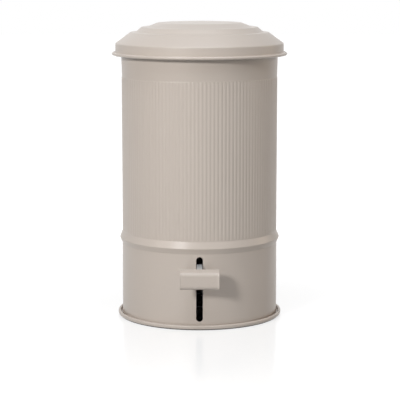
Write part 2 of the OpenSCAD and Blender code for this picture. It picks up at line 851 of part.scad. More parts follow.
module inner_bucket() {
    color(dark_plastic) difference() {
        union() {
            rotate_extrude() polygon([
                [0, bucket_z],
                [bucket_low_r, bucket_z],
                [bucket_top_r, bucket_top - bucket_t],
                [rim_r, bucket_top - bucket_t],
                [rim_r, bucket_top],
                [bucket_top_r - bucket_t, bucket_top],
                [bucket_low_r - bucket_t, bucket_z + bucket_t],
                [0, bucket_z + bucket_t]
            ]);
            for (side = [-1, 1])
                translate([side * (bucket_top_r - lug_root + lug_out / 2), 0, bail_z])
                    cube([lug_out, lug_w, lug_h], center = true);
        }
        translate([0, 0, bail_z]) rotate([0, 90, 0])
            cylinder(r = bail_d / 2 + pin_gap, h = 2 * bail_r, center = true);
    }
}

module bail_wire() {
    color(zinc) union() {
        translate([0, 0, bail_z]) rotate([0, 0, 180 - bail_lap]) rotate_extrude(angle = 180 + 2 * bail_lap)
            translate([bail_r, 0]) circle(r = bail_d / 2);
        for (side = [-1, 1])
            translate([side * (pin_in + bail_r) / 2, 0, bail_z]) rotate([0, 90, 0])
                cylinder(r = bail_d / 2, h = bail_r - pin_in, center = true);
    }
}

module bail_grip() {
    color(dark_plastic) translate([0, 0, bail_z]) rotate([0, 0, 180]) ring_piece(grip_angle)
        translate([bail_r, 0]) difference() {
            circle(r = grip_d / 2);
            circle(r = bail_d / 2 + snug_gap);
        }
}

body_shell();
base_ring();
foot_ring();
base_plate();
base_rivets();
shelf_plate();
fulcrum_bracket();
fulcrum_rivets();
lever_pin();
lever_pin_clips();
rod_guides();
hinge_bracket();
hinge_screws();
hinge_nuts();
hinge_pin();
hinge_pin_clip();
lid_bumpers();
pedal_lever();
lever_bushes();
pedal_plate();
push_rod();
rod_clips();
lid_shell();
lid_bracket();
lid_crank();
lid_rivets();
inner_bucket();
bail_wire();
bail_grip();
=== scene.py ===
import math

import bmesh
import bpy
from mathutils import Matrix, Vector


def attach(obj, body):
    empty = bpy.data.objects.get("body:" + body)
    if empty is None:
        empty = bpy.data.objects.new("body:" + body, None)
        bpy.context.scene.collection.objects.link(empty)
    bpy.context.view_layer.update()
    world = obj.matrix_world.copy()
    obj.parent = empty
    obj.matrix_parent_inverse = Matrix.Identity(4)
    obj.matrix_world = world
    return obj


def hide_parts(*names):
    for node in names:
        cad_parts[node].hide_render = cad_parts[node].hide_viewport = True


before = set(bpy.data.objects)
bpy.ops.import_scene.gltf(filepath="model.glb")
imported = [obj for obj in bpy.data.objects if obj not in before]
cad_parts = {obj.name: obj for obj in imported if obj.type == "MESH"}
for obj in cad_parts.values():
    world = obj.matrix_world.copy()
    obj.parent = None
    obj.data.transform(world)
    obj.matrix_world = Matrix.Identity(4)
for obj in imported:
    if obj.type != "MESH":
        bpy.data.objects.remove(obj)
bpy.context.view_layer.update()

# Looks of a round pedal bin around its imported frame: metres, Z up, the pedal at -Y, the hinge at +Y.
mm = 0.001
print("frame loaded:", len(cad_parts), "nodes")


# Camera, light and floor

view = {"lens": 144, "sensor": 36, "place": (0.001, -3.28, 0.7347), "pitch": 8.62}
studio = {
    # the floor's glow is lower near the object: painted shade round its foot
    "ambient": 0.01, "floorHalf": 12, "floorColour": 0.25, "floorGloss": 0.22, "floorRoughness": 0.15,
    "glowNearPaintedShade": 0.88, "glowFar": 1.16, "glowFrom": 0.15, "glowTo": 1.1,  # more glow far from the object
    "lampsAim": (0, 0, 0.3),
}
lamps = {
    "key": {"place": (-1.886, -3.4, 1.87), "size": (0.5, 0.6), "power": 84.5, "colour": (1, 0.99, 0.975)},
    "side": {"place": (-3.272, -2.207, 1.736), "size": (0.5, 1.0), "power": 17, "colour": (1, 0.89, 0.79)},
    "top": {"place": (0.2, -0.9, 3.0), "size": (2.4, 2.4), "power": 54, "colour": (0.91, 0.95, 1)},
    "rim": {"place": (3.0, 0.8, 1.3), "size": (1.2, 1.8), "power": 14, "colour": (1, 0.76, 0.52)},
    "back": {"place": (-0.8, 3.2, 1.9), "size": (2.2, 1.8), "power": 40, "colour": (1, 1, 1)},
    "fill": {"place": (1.9, -3.0, 1.6), "size": (1.2, 1.2), "power": 8, "colour": (1, 0.88, 0.74)},
}


def linear(red, green, blue):
    # a colour given in 0 to 255, as a screen shows it
    values = []
    for part in (red, green, blue):
        share = part / 255
        values.append(share / 12.92 if share <= 0.04045 else ((share + 0.055) / 1.055) ** 2.4)
    return (*values, 1)


def addNode(tree, kind, **settings):
    node = tree.nodes.new(kind)
    for key, value in settings.items():
        setattr(node, key, value)
    return node


def calc(tree, operation, *values):
    # each value is a number or another node's output
    node = addNode(tree, "ShaderNodeMath", operation=operation)
    for i, value in enumerate(values):
        if isinstance(value, (int, float)):
            node.inputs[i].default_value = value
        else:
            tree.links.new(value, node.inputs[i])
    return node.outputs[0]


def backgroundRay(tree):
    # 1 for rays of the camera and of gloss and glass, which see a white background
    path = addNode(tree, "ShaderNodeLightPath")
    seen = calc(tree, "MAXIMUM", path.outputs["Is Camera Ray"], path.outputs["Is Glossy Ray"])
    return calc(tree, "MAXIMUM", seen, path.outputs["Is Transmission Ray"])


def makeCamera():
    data = bpy.data.cameras.new("camera")
    data.lens = view["lens"]
    data.sensor_width = view["sensor"]
    camera = bpy.data.objects.new("camera", data)
    camera.location = view["place"]
    camera.rotation_euler = (math.radians(90 - view["pitch"]), 0, 0)
    bpy.context.scene.collection.objects.link(camera)
    bpy.context.scene.camera = camera


def makeLamp(name, lamp):
    place = Vector(lamp["place"])
    data = bpy.data.lights.new(name + "Light", "AREA")
    data.shape = "RECTANGLE"
    data.size, data.size_y = lamp["size"]
    data.energy = lamp["power"]
    data.color = lamp["colour"]
    made = bpy.data.objects.new(name + "Light", data)
    made.location = place
    made.rotation_euler = (Vector(studio["lampsAim"]) - place).to_track_quat("-Z", "Y").to_euler()
    # the back light only fills the side away from the camera; its glint would cross the lid
    made.visible_glossy = name != "back"
    bpy.context.scene.collection.objects.link(made)


def makeWorld():
    world = bpy.data.worlds.new("studio")
    world.use_nodes = True
    tree = world.node_tree
    tree.nodes.clear()
    seen = backgroundRay(tree)
    strength = addNode(tree, "ShaderNodeMapRange")
    strength.inputs["To Min"].default_value = studio["ambient"]
    strength.inputs["To Max"].default_value = 1
    back = addNode(tree, "ShaderNodeBackground")
    back.inputs["Color"].default_value = (1, 1, 1, 1)
    out = addNode(tree, "ShaderNodeOutputWorld")
    tree.links.new(seen, strength.inputs["Value"])
    tree.links.new(strength.outputs["Result"], back.inputs["Strength"])
    tree.links.new(back.outputs[0], out.inputs["Surface"])
    bpy.context.scene.world = world


def makeFloor():
    # keeps the shadow in its diffuse part, and adds light for the camera up to white away from the object;
    # the added light is lower near the object, a painted shade on the floor round its foot
    material = bpy.data.materials.new("floorWhite")
    material.use_nodes = True
    tree = material.node_tree
    tree.nodes.clear()
    diffuse = addNode(tree, "ShaderNodeBsdfDiffuse")
    diffuse.inputs["Color"].default_value = (studio["floorColour"],) * 3 + (1,)
    glow = addNode(tree, "ShaderNodeEmission")
    away = addNode(tree, "ShaderNodeVectorMath", operation="LENGTH")
    tree.links.new(addNode(tree, "ShaderNodeTexCoord").outputs["Object"], away.inputs[0])
    # less glow towards the object, a painted shade on the floor round its foot
    growth = addNode(tree, "ShaderNodeMapRange", interpolation_type="SMOOTHSTEP")
    growth.inputs["From Min"].default_value = studio["glowFrom"]
    growth.inputs["From Max"].default_value = studio["glowTo"]
    growth.inputs["To Min"].default_value = studio["glowNearPaintedShade"]
    growth.inputs["To Max"].default_value = studio["glowFar"]
    tree.links.new(away.outputs["Value"], growth.inputs["Value"])
    topUp = calc(tree, "MULTIPLY", backgroundRay(tree), growth.outputs["Result"])
    tree.links.new(topUp, glow.inputs["Strength"])
    lit = addNode(tree, "ShaderNodeAddShader")
    tree.links.new(diffuse.outputs[0], lit.inputs[0])
    tree.links.new(glow.outputs[0], lit.inputs[1])
    gloss = addNode(tree, "ShaderNodeBsdfAnisotropic")
    gloss.inputs["Roughness"].default_value = studio["floorRoughness"]
    mix = addNode(tree, "ShaderNodeMixShader")
    mix.inputs["Fac"].default_value = studio["floorGloss"]
    tree.links.new(lit.outputs[0], mix.inputs[1])
    tree.links.new(gloss.outputs[0], mix.inputs[2])
    out = addNode(tree, "ShaderNodeOutputMaterial")
    tree.links.new(mix.outputs[0], out.inputs["Surface"])
    half = studio["floorHalf"]
    corners = [(-half, -half, 0), (half, -half, 0), (half, half, 0), (-half, half, 0)]
    mesh = bpy.data.meshes.new("floor")
    mesh.from_pydata(corners, [], [(0, 1, 2, 3)])
    mesh.materials.append(material)
    floor = bpy.data.objects.new("floor", mesh)
    bpy.context.scene.collection.objects.link(floor)


makeCamera()
makeWorld()
makeFloor()
for name, lamp in lamps.items():
    makeLamp(name, lamp)
bpy.context.scene.view_settings.view_transform = "Standard"
print("camera, light and floor set")


# Shader groups that several finishes share

def newGroup(name, inputs, outputs):
    kinds = {"value": "NodeSocketFloat", "colour": "NodeSocketColor", "vector": "NodeSocketVector"}
    tree = bpy.data.node_groups.new(name, "ShaderNodeTree")
    for label, kind, value in inputs:
        socket = tree.interface.new_socket(label, in_out="INPUT", socket_type=kinds[kind])
        socket.default_value = value
    for label, kind in outputs:
        tree.interface.new_socket(label, in_out="OUTPUT", socket_type=kinds[kind])
    return tree, addNode(tree, "NodeGroupInput"), addNode(tree, "NodeGroupOutput")


def noiseIn(tree, source, scaleSocket, factor, detail, roughness=0.5):
    # object-space noise whose scale is the group's own scale times a factor
    noise = addNode(tree, "ShaderNodeTexNoise")
    noise.inputs["Detail"].default_value = detail
    noise.inputs["Roughness"].default_value = roughness
    tree.links.new(source, noise.inputs["Vector"])
    tree.links.new(calc(tree, "MULTIPLY", scaleSocket, factor), noise.inputs["Scale"])
    return noise.outputs["Fac"]


def sprayedCoatGroup():
    # the gentle ripple and fine grain of sprayed and baked paint
    tree, given, out = newGroup(
        "sprayedCoat",
        [("Ripple Scale", "value", 520), ("Grain Share", "value", 0.25)],
        [("Height", "value"), ("Speckle", "value")],
    )
    place = addNode(tree, "ShaderNodeTexCoord").outputs["Object"]
    ripple = noiseIn(tree, place, given.outputs["Ripple Scale"], 1, 2)
    grain = noiseIn(tree, place, given.outputs["Ripple Scale"], 4.6, 3)
    mix = addNode(tree, "ShaderNodeMix", data_type="FLOAT")
    tree.links.new(given.outputs["Grain Share"], mix.inputs["Factor"])
    tree.links.new(ripple, mix.inputs["A"])
    tree.links.new(grain, mix.inputs["B"])
    tree.links.new(mix.outputs["Result"], out.inputs["Height"])
    tree.links.new(grain, out.inputs["Speckle"])
    return tree


dust = {"colour": linear(222, 216, 208), "leastZ": 0.86}  # dust lies where the normal's Z is above this


def toneDriftGroup():
    # slow drift of a colour over a piece, with a fine mottle and a trace of dust on level tops
    tree, given, out = newGroup(
        "toneDrift",
        [("Colour", "colour", (1, 1, 1, 1)), ("Drift", "value", 0.03), ("Mottle", "value", 0.02),
         ("Dust", "value", 0.0), ("Scale", "value", 7)],
        [("Colour", "colour"), ("Cloud", "value")],
    )
    place = addNode(tree, "ShaderNodeTexCoord").outputs["Object"]
    cloud = noiseIn(tree, place, given.outputs["Scale"], 1, 3, 0.55)
    mottle = noiseIn(tree, place, given.outputs["Scale"], 60, 2)
    drift = calc(tree, "MULTIPLY_ADD", calc(tree, "SUBTRACT", cloud, 0.5), given.outputs["Drift"], 1)
    value = calc(tree, "MULTIPLY_ADD", calc(tree, "SUBTRACT", mottle, 0.5), given.outputs["Mottle"], drift)
    tinted = addNode(tree, "ShaderNodeVectorMath", operation="SCALE")
    tree.links.new(given.outputs["Colour"], tinted.inputs[0])
    tree.links.new(value, tinted.inputs["Scale"])
    split = addNode(tree, "ShaderNodeSeparateXYZ")
    tree.links.new(addNode(tree, "ShaderNodeNewGeometry").outputs["Normal"], split.inputs[0])
    level = addNode(tree, "ShaderNodeMapRange")
    level.inputs["From Min"].default_value = dust["leastZ"]
    tree.links.new(split.outputs["Z"], level.inputs["Value"])
    patchy = calc(tree, "MULTIPLY", level.outputs["Result"], cloud)
    amount = calc(tree, "MULTIPLY", patchy, given.outputs["Dust"])
    dusty = addNode(tree, "ShaderNodeMix", data_type="RGBA")
    dusty.inputs["B"].default_value = dust["colour"]
    tree.links.new(amount, dusty.inputs["Factor"])
    tree.links.new(tinted.outputs[0], dusty.inputs["A"])
    tree.links.new(dusty.outputs["Result"], out.inputs["Colour"])
    tree.links.new(cloud, out.inputs["Cloud"])
    return tree


def drawnLinesGroup():
    # fine lines left by rolling or drawing, stretched along one direction
    tree, given, out = newGroup(
        "drawnLines",
        [("Stretch", "vector", (1, 1, 0.02)), ("Scale", "value", 1500)],
        [("Line", "value")],
    )
    place = addNode(tree, "ShaderNodeTexCoord").outputs["Object"]
    stretched = addNode(tree, "ShaderNodeVectorMath", operation="MULTIPLY")
    tree.links.new(place, stretched.inputs[0])
    tree.links.new(given.outputs["Stretch"], stretched.inputs[1])
    line = noiseIn(tree, stretched.outputs[0], given.outputs["Scale"], 1, 4, 0.6)
    tree.links.new(line, out.inputs["Line"])
    return tree


rubs = {"stretches": ((1, 0.06, 0.2), (0.08, 1, 0.3)), "fineness": 6, "from": 0.66, "full": 0.78}


def rubMarksGroup():
    # thin crossing rub marks, sparse, as a mask
    tree, given, out = newGroup(
        "rubMarks",
        [("Scale", "value", 90), ("Amount", "value", 0.5)],
        [("Mask", "value")],
    )
    place = addNode(tree, "ShaderNodeTexCoord").outputs["Object"]
    marks = []
    for stretch in rubs["stretches"]:
        stretched = addNode(tree, "ShaderNodeVectorMath", operation="MULTIPLY")
        stretched.inputs[1].default_value = stretch
        tree.links.new(place, stretched.inputs[0])
        fine = noiseIn(tree, stretched.outputs[0], given.outputs["Scale"], rubs["fineness"], 3, 0.7)
        cut = addNode(tree, "ShaderNodeMapRange")
        cut.inputs["From Min"].default_value = rubs["from"]
        cut.inputs["From Max"].default_value = rubs["full"]
        tree.links.new(fine, cut.inputs["Value"])
        marks.append(cut.outputs["Result"])
    mask = calc(tree, "MULTIPLY", calc(tree, "MAXIMUM", *marks), given.outputs["Amount"])
    tree.links.new(mask, out.inputs["Mask"])
    return tree


groups = {
    "coat": sprayedCoatGroup(),
    "tone": toneDriftGroup(),
    "lines": drawnLinesGroup(),
    "marks": rubMarksGroup(),
}


# Finishes

def useGroup(tree, key, values):
    node = addNode(tree, "ShaderNodeGroup", node_tree=groups[key])
    for label, value in values.items():
        node.inputs[label].default_value = value
    return node


def newFinish(name):
    material = bpy.data.materials.new(name)
    material.use_nodes = True
    tree = material.node_tree
    tree.nodes.clear()
    surface = addNode(tree, "ShaderNodeBsdfPrincipled")
    out = addNode(tree, "ShaderNodeOutputMaterial")
    tree.links.new(surface.outputs[0], out.inputs["Surface"])
    return material, tree, surface


noiseSpan = (0.3, 0.7)  # most of a noise's values lie in here


def between(tree, noise, low, high):
    # a noise mapped to low and high
    node = addNode(tree, "ShaderNodeMapRange")
    node.inputs["From Min"].default_value = noiseSpan[0]
    node.inputs["From Max"].default_value = noiseSpan[1]
    node.inputs["To Min"].default_value = low
    node.inputs["To Max"].default_value = high
    tree.links.new(noise, node.inputs["Value"])
    return node.outputs["Result"]


def toneOf(tree, look):
    return useGroup(tree, "tone", {
        "Colour": look["colour"], "Drift": look["drift"], "Mottle": look["mottle"],
        "Dust": look["dust"], "Scale": look["toneScale"],
    })


def bumpFrom(tree, surface, height, depth):
    bump = addNode(tree, "ShaderNodeBump")
    bump.inputs["Distance"].default_value = depth
    bump.inputs["Strength"].default_value = 1
    tree.links.new(height, bump.inputs["Height"])
    tree.links.new(bump.outputs[0], surface.inputs["Normal"])


paint = {
    "colour": linear(197, 187, 178), "drift": 0.035, "mottle": 0.03, "dust": 0.05,
    "toneScale": 6, "rippleScale": 480, "rippleDepth": 0.035 * mm, "grainShare": 0.22,
    "roughness": (0.31, 0.38), "rubbed": linear(176, 166, 156), "rubScale": 60, "rubAmount": 0.25,
}


def paintFinish(name, rubAmount):
    material, tree, surface = newFinish(name)
    coat = useGroup(tree, "coat", {"Ripple Scale": paint["rippleScale"], "Grain Share": paint["grainShare"]})
    tone = toneOf(tree, paint)
    marks = useGroup(tree, "marks", {"Scale": paint["rubScale"], "Amount": rubAmount})
    rubbed = addNode(tree, "ShaderNodeMix", data_type="RGBA")
    rubbed.inputs["B"].default_value = paint["rubbed"]
    tree.links.new(marks.outputs["Mask"], rubbed.inputs["Factor"])
    tree.links.new(tone.outputs["Colour"], rubbed.inputs["A"])
    tree.links.new(rubbed.outputs["Result"], surface.inputs["Base Color"])
    tree.links.new(between(tree, coat.outputs["Speckle"], *paint["roughness"]), surface.inputs["Roughness"])
    bumpFrom(tree, surface, coat.outputs["Height"], paint["rippleDepth"])
    return material


zincSheet = {
    "colour": linear(204, 207, 209), "drift": 0.16, "mottle": 0.10, "dust": 0, "toneScale": 28,
    "stretch": (0.02, 1, 1), "lineScale": 1300, "depth": 0.006 * mm, "roughness": (0.48, 0.62),
}
drawnSteel = {
    "colour": linear(168, 168, 170), "drift": 0.08, "mottle": 0.05, "dust": 0, "toneScale": 20,
    "stretch": (1, 1, 0.015), "lineScale": 2600, "depth": 0.005 * mm, "roughness": (0.22, 0.36),
}
brightZinc = {
    "colour": linear(196, 199, 203), "drift": 0.10, "mottle": 0.06, "dust": 0, "toneScale": 60,
    "rubScale": 240, "rubAmount": 1, "depth": 0.004 * mm, "roughness": (0.18, 0.30),
}


def metalFinish(name, look):
    # rolled sheet and drawn wire show fine lines along one direction, plated parts show rub marks
    material, tree, surface = newFinish(name)
    tone = toneOf(tree, look)
    if "stretch" in look:
        lines = useGroup(tree, "lines", {"Stretch": look["stretch"], "Scale": look["lineScale"]})
        sheen = relief = lines.outputs["Line"]
    else:
        marks = useGroup(tree, "marks", {"Scale": look["rubScale"], "Amount": look["rubAmount"]})
        sheen, relief = tone.outputs["Cloud"], marks.outputs["Mask"]
    surface.inputs["Metallic"].default_value = 1
    tree.links.new(tone.outputs["Colour"], surface.inputs["Base Color"])
    tree.links.new(between(tree, sheen, *look["roughness"]), surface.inputs["Roughness"])
    bumpFrom(tree, surface, relief, look["depth"])
    return material


nylonLook = {
    "colour": linear(52, 52, 54), "drift": 0.06, "mottle": 0.05, "dust": 0.02, "toneScale": 14,
    "grainScale": 1400, "grainShare": 0.6, "depth": 0.02 * mm, "roughness": (0.42, 0.55),
}
rubberLook = {
    "colour": linear(38, 38, 38), "drift": 0.10, "mottle": 0.08, "dust": 0.05, "toneScale": 14,
    "grainScale": 1800, "grainShare": 0.6, "depth": 0.03 * mm, "roughness": (0.68, 0.85),
}
bucketLook = {
    "colour": linear(62, 62, 64), "drift": 0.05, "mottle": 0.05, "dust": 0.03, "toneScale": 14,
    "grainScale": 900, "grainShare": 0.6, "depth": 0.05 * mm, "roughness": (0.46, 0.60),
}
gripLook = {
    "colour": linear(48, 48, 50), "drift": 0.05, "mottle": 0.04, "dust": 0, "toneScale": 14,
    "grainScale": 1500, "grainShare": 0.6, "depth": 0.02 * mm, "roughness": (0.38, 0.50),
}


def mouldedFinish(name, look):
    # nylon, rubber and plastic: a dull moulded skin with a fine grain
    material, tree, surface = newFinish(name)
    tone = toneOf(tree, look)
    coat = useGroup(tree, "coat", {"Ripple Scale": look["grainScale"], "Grain Share": look["grainShare"]})
    tree.links.new(tone.outputs["Colour"], surface.inputs["Base Color"])
    tree.links.new(between(tree, coat.outputs["Speckle"], *look["roughness"]), surface.inputs["Roughness"])
    bumpFrom(tree, surface, coat.outputs["Height"], look["depth"])
    return material


finishes = {
    "paint": paintFinish("greigePaint", 0),
    "pedalPaint": paintFinish("pedalPaint", paint["rubAmount"]),
    "zinc_plate": metalFinish("zincSheet", zincSheet),
    "zinc": metalFinish("brightZinc", brightZinc),
    "steel": metalFinish("drawnSteel", drawnSteel),
    "nylon": mouldedFinish("blackNylon", nylonLook),
    "rubber": mouldedFinish("blackRubber", rubberLook),
    "bucket_plastic": mouldedFinish("bucketPlastic", bucketLook),
    "grip_plastic": mouldedFinish("gripPlastic", gripLook),
}
print("finishes made:", len(finishes))


# Outlines and meshes

def corner(before, at, after, radius, steps):
    # the arc that rounds one corner of an outline
    a, b, c = Vector(before), Vector(at), Vector(after)
    u = (a - b).normalized()
    w = (c - b).normalized()
    half = u.angle(w) / 2
    reach = radius / math.tan(half)
    centre = b + (u + w).normalized() * radius / math.sin(half)
    points = []
    for i in range(steps + 1):
        chord = b + u * reach * (1 - i / steps) + w * reach * i / steps
        points.append(tuple(centre + (chord - centre).normalized() * radius))
    return points


def beside(path, distance):
    # the path moved to its left by the distance
    lefts = []
    for (x0, y0), (x1, y1) in zip(path, path[1:]):
        length = math.hypot(x1 - x0, y1 - y0)
        lefts.append(Vector(((y0 - y1) / length, (x1 - x0) / length)))
    moved = []
    for i, point in enumerate(path):
        before = lefts[max(i - 1, 0)]
        after = lefts[min(i, len(lefts) - 1)]
        middle = (before + after).normalized()
        moved.append(tuple(Vector(point) + middle * distance / middle.dot(before)))
    return moved


def arc(centre, radius, start, end, steps):
    points = []
    for i in range(steps + 1):
        turn = math.radians(start + (end - start) * i / steps)
        points.append((centre[0] + radius * math.cos(turn), centre[1] + radius * math.sin(turn)))
    return points


def spread(low, high, steps):
    return [low + (high - low) * i / steps for i in range(steps + 1)]


def newPiece(name, points, faces):
    mesh = bpy.data.meshes.new(name)
    mesh.from_pydata(points, [], faces)
    mesh.update()
    piece = bpy.data.objects.new(name, mesh)
    bpy.context.scene.collection.objects.link(piece)
    return piece


def revolve(name, outline, columns):
    # turns a closed outline of (radius, height) round the Z axis; up the outside, down the inside
    # a radius may also be a function of the turn
    points, rows, faces = [], [], []
    for radius, height in outline:
        start = len(points)
        if radius == 0:
            points.append((0, 0, height))
            rows.append([start] * columns)
            continue
        for j in range(columns):
            turn = 2 * math.pi * j / columns
            out = radius(turn) if callable(radius) else radius
            points.append((out * math.cos(turn), out * math.sin(turn), height))
        rows.append(list(range(start, start + columns)))
    for i, row in enumerate(rows):
        after = rows[(i + 1) % len(rows)]
        for j in range(columns):
            k = (j + 1) % columns
            face = []
            for index in (row[j], row[k], after[k], after[j]):
                if index not in face:
                    face.append(index)
            if len(face) > 2:
                faces.append(face)
    return newPiece(name, points, faces)


def sweep(name, path, radii, sides):
    # a round bar along a path, with one radius for each point and closed ends
    path = [Vector(p) for p in path]
    points, faces = [], []
    side = None
    for i, place in enumerate(path):
        ahead = (path[min(i + 1, len(path) - 1)] - path[max(i - 1, 0)]).normalized()
        if side is None:
            side = ahead.orthogonal().normalized()
        side = (side - ahead * side.dot(ahead)).normalized()
        other = ahead.cross(side)
        for j in range(sides):
            turn = 2 * math.pi * j / sides
            points.append(place + (side * math.cos(turn) + other * math.sin(turn)) * radii[i])
    for i in range(len(path) - 1):
        for j in range(sides):
            k = (j + 1) % sides
            faces.append((i * sides + j, i * sides + k, (i + 1) * sides + k, (i + 1) * sides + j))
    faces.append(tuple(reversed(range(sides))))
    faces.append(tuple((len(path) - 1) * sides + j for j in range(sides)))
    return newPiece(name, points, faces)


def bake(piece):
    # turns the modifiers into plain mesh
    graph = bpy.context.evaluated_depsgraph_get()
    made = bpy.data.meshes.new_from_object(piece.evaluated_get(graph), depsgraph=graph)
    piece.modifiers.clear()
    piece.data = made
    return piece


def smooth(piece, angle=40):
    for polygon in piece.data.polygons:
        polygon.use_smooth = True
    piece.data.set_sharp_from_angle(angle=math.radians(angle))
    return piece


def bevelled(piece, width, segments=2, angle=35):
    # rounds the edges that are sharper than the angle
    for polygon in piece.data.polygons:
        polygon.use_smooth = True
    bevel = piece.modifiers.new("edges", "BEVEL")
    bevel.width = width
    bevel.segments = segments
    bevel.limit_method = "ANGLE"
    bevel.angle_limit = math.radians(angle)
    bevel.harden_normals = True
    bevel.use_clamp_overlap = True
    return bake(piece)


weld = {"distance": 0.002 * mm, "flatness": math.radians(0.4)}


def refined(node, name, width):
    # a merged copy of a CAD node with eased edges
    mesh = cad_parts[node].data.copy()
    mesh.name = name
    work = bmesh.new()
    work.from_mesh(mesh)
    bmesh.ops.remove_doubles(work, verts=work.verts, dist=weld["distance"])
    bmesh.ops.dissolve_limit(work, angle_limit=weld["flatness"], verts=work.verts, edges=work.edges)
    work.to_mesh(mesh)
    work.free()
    mesh.materials.clear()
    piece = bpy.data.objects.new(name, mesh)
    bpy.context.scene.collection.objects.link(piece)
    return bevelled(piece, width) if width else piece


def cutAway(piece, *cutters):
    for cutter in cutters:
        cut = piece.modifiers.new("cut", "BOOLEAN")
        cut.operation = "DIFFERENCE"
        cut.solver = "EXACT"
        cut.object = cutter
        bake(piece)
        bpy.data.objects.remove(cutter)


def prism(name, outline, axis, low, high):
    # a closed outline pushed along X, Y or Z from low to high
    order = {"x": (2, 0, 1), "y": (0, 2, 1), "z": (0, 1, 2)}[axis]
    points = []
    for level in (low, high):
        for a, b in outline:
            flat = (a, b, level)
            points.append(tuple(flat[order[i]] for i in range(3)))
    count = len(outline)
    faces = [tuple(range(count)), tuple(reversed(range(count, 2 * count)))]
    for i in range(count):
        j = (i + 1) % count
        faces.append((j, i, count + i, count + j))
    piece = newPiece(name, points, faces)
    work = bmesh.new()
    work.from_mesh(piece.data)
    bmesh.ops.recalc_face_normals(work, faces=work.faces)
    work.to_mesh(piece.data)
    work.free()
    return piece


def settle(piece, body, slot, *nodes, finish=None):
    # gives a piece its finish and ties it to its body, its slot and the nodes it stands for
    piece.data.materials.clear()
    piece.data.materials.append(finishes[finish or slot])
    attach(piece, body)
    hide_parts(*nodes)


# Geometry Nodes

def newTree(name, inputs):
    kinds = {"float": "NodeSocketFloat", "int": "NodeSocketInt", "object": "NodeSocketObject",
             "material": "NodeSocketMaterial"}
    tree = bpy.data.node_groups.new(name, "GeometryNodeTree")
    tree.is_modifier = True
    tree.interface.new_socket("Geometry", in_out="INPUT", socket_type="NodeSocketGeometry")
    for label, kind in inputs:
        tree.interface.new_socket(label, in_out="INPUT", socket_type=kinds[kind])
    tree.interface.new_socket("Geometry", in_out="OUTPUT", socket_type="NodeSocketGeometry")
    return tree, addNode(tree, "NodeGroupInput"), addNode(tree, "NodeGroupOutput")


def closeTree(tree, geometry, given, out):
    whole = addNode(tree, "GeometryNodeRealizeInstances")
    coloured = addNode(tree, "GeometryNodeSetMaterial")
    tree.links.new(geometry, whole.inputs[0])
    tree.links.new(whole.outputs[0], coloured.inputs["Geometry"])
    tree.links.new(given.outputs["Material"], coloured.inputs["Material"])
    tree.links.new(coloured.outputs[0], out.inputs[0])


def runTree(piece, tree, values):
    made = piece.modifiers.new(tree.name, "NODES")
    made.node_group = tree
    for item in tree.interface.items_tree:
        if item.in_out == "INPUT" and item.name in values:
            made[item.identifier] = values[item.name]
    return bake(piece)


def fluteTree():
    # presses upright ribs with round ends out of a turned wall, and lays a flat seam up its back
    tree, given, out = newTree("pressFlutes", [
        ("Count", "int"), ("Depth", "float"), ("Low", "float"), ("Top", "float"), ("End Length", "float"),
        ("Skin Radius", "float"), ("Seam Width", "float"), ("Seam Height", "float"), ("Seam Top", "float"),
        ("Material", "material"),
    ])
    g = given.outputs
    split = addNode(tree, "ShaderNodeSeparateXYZ")
    tree.links.new(addNode(tree, "GeometryNodeInputPosition").outputs[0], split.inputs[0])
    x, y, z = split.outputs
    radius = calc(tree, "SQRT", calc(tree, "ADD", calc(tree, "MULTIPLY", x, x), calc(tree, "MULTIPLY", y, y)))
    turn = calc(tree, "ARCTAN2", y, x)
    rib = calc(tree, "SINE", calc(tree, "MULTIPLY", turn, calc(tree, "DIVIDE", g["Count"], 2)))
    ribSquare = calc(tree, "MULTIPLY", rib, rib)
    fromEnd = calc(tree, "MINIMUM", calc(tree, "SUBTRACT", z, g["Low"]), calc(tree, "SUBTRACT", g["Top"], z))
    nose = calc(tree, "SUBTRACT", 1, calc(tree, "DIVIDE", fromEnd, g["End Length"]))
    nose = calc(tree, "MINIMUM", calc(tree, "MAXIMUM", nose, 0), 1)
    rise = calc(tree, "SUBTRACT", ribSquare, calc(tree, "MULTIPLY", nose, nose))
    rise = calc(tree, "SQRT", calc(tree, "MAXIMUM", rise, 0))
    seam = calc(tree, "LESS_THAN", calc(tree, "ABSOLUTE", x), calc(tree, "DIVIDE", g["Seam Width"], 2))
    seam = calc(tree, "MULTIPLY", seam, calc(tree, "GREATER_THAN", y, 0))
    seam = calc(tree, "MULTIPLY", seam, calc(tree, "LESS_THAN", z, g["Seam Top"]))
    lift = calc(tree, "MULTIPLY", calc(tree, "MULTIPLY", rise, g["Depth"]), calc(tree, "SUBTRACT", 1, seam))
    lift = calc(tree, "ADD", lift, calc(tree, "MULTIPLY", seam, g["Seam Height"]))
    lift = calc(tree, "MULTIPLY", lift, calc(tree, "GREATER_THAN", radius, g["Skin Radius"]))
    share = calc(tree, "DIVIDE", lift, radius)
    offset = addNode(tree, "ShaderNodeCombineXYZ")
    tree.links.new(calc(tree, "MULTIPLY", x, share), offset.inputs["X"])
    tree.links.new(calc(tree, "MULTIPLY", y, share), offset.inputs["Y"])
    moved = addNode(tree, "GeometryNodeSetPosition")
    tree.links.new(g["Geometry"], moved.inputs["Geometry"])
    tree.links.new(offset.outputs[0], moved.inputs["Offset"])
    closeTree(tree, moved.outputs[0], given, out)
    return tree


def instanceFixings(tree, given, out, points, turned=None):
    # the given object on each point, turned where a rotation is given
    info = addNode(tree, "GeometryNodeObjectInfo")
    tree.links.new(given.outputs["Fixing"], info.inputs["Object"])
    onPoints = addNode(tree, "GeometryNodeInstanceOnPoints")
    tree.links.new(points, onPoints.inputs["Points"])
    tree.links.new(info.outputs["Geometry"], onPoints.inputs["Instance"])
    if turned is not None:
        tree.links.new(turned, onPoints.inputs["Rotation"])
    closeTree(tree, onPoints.outputs[0], given, out)


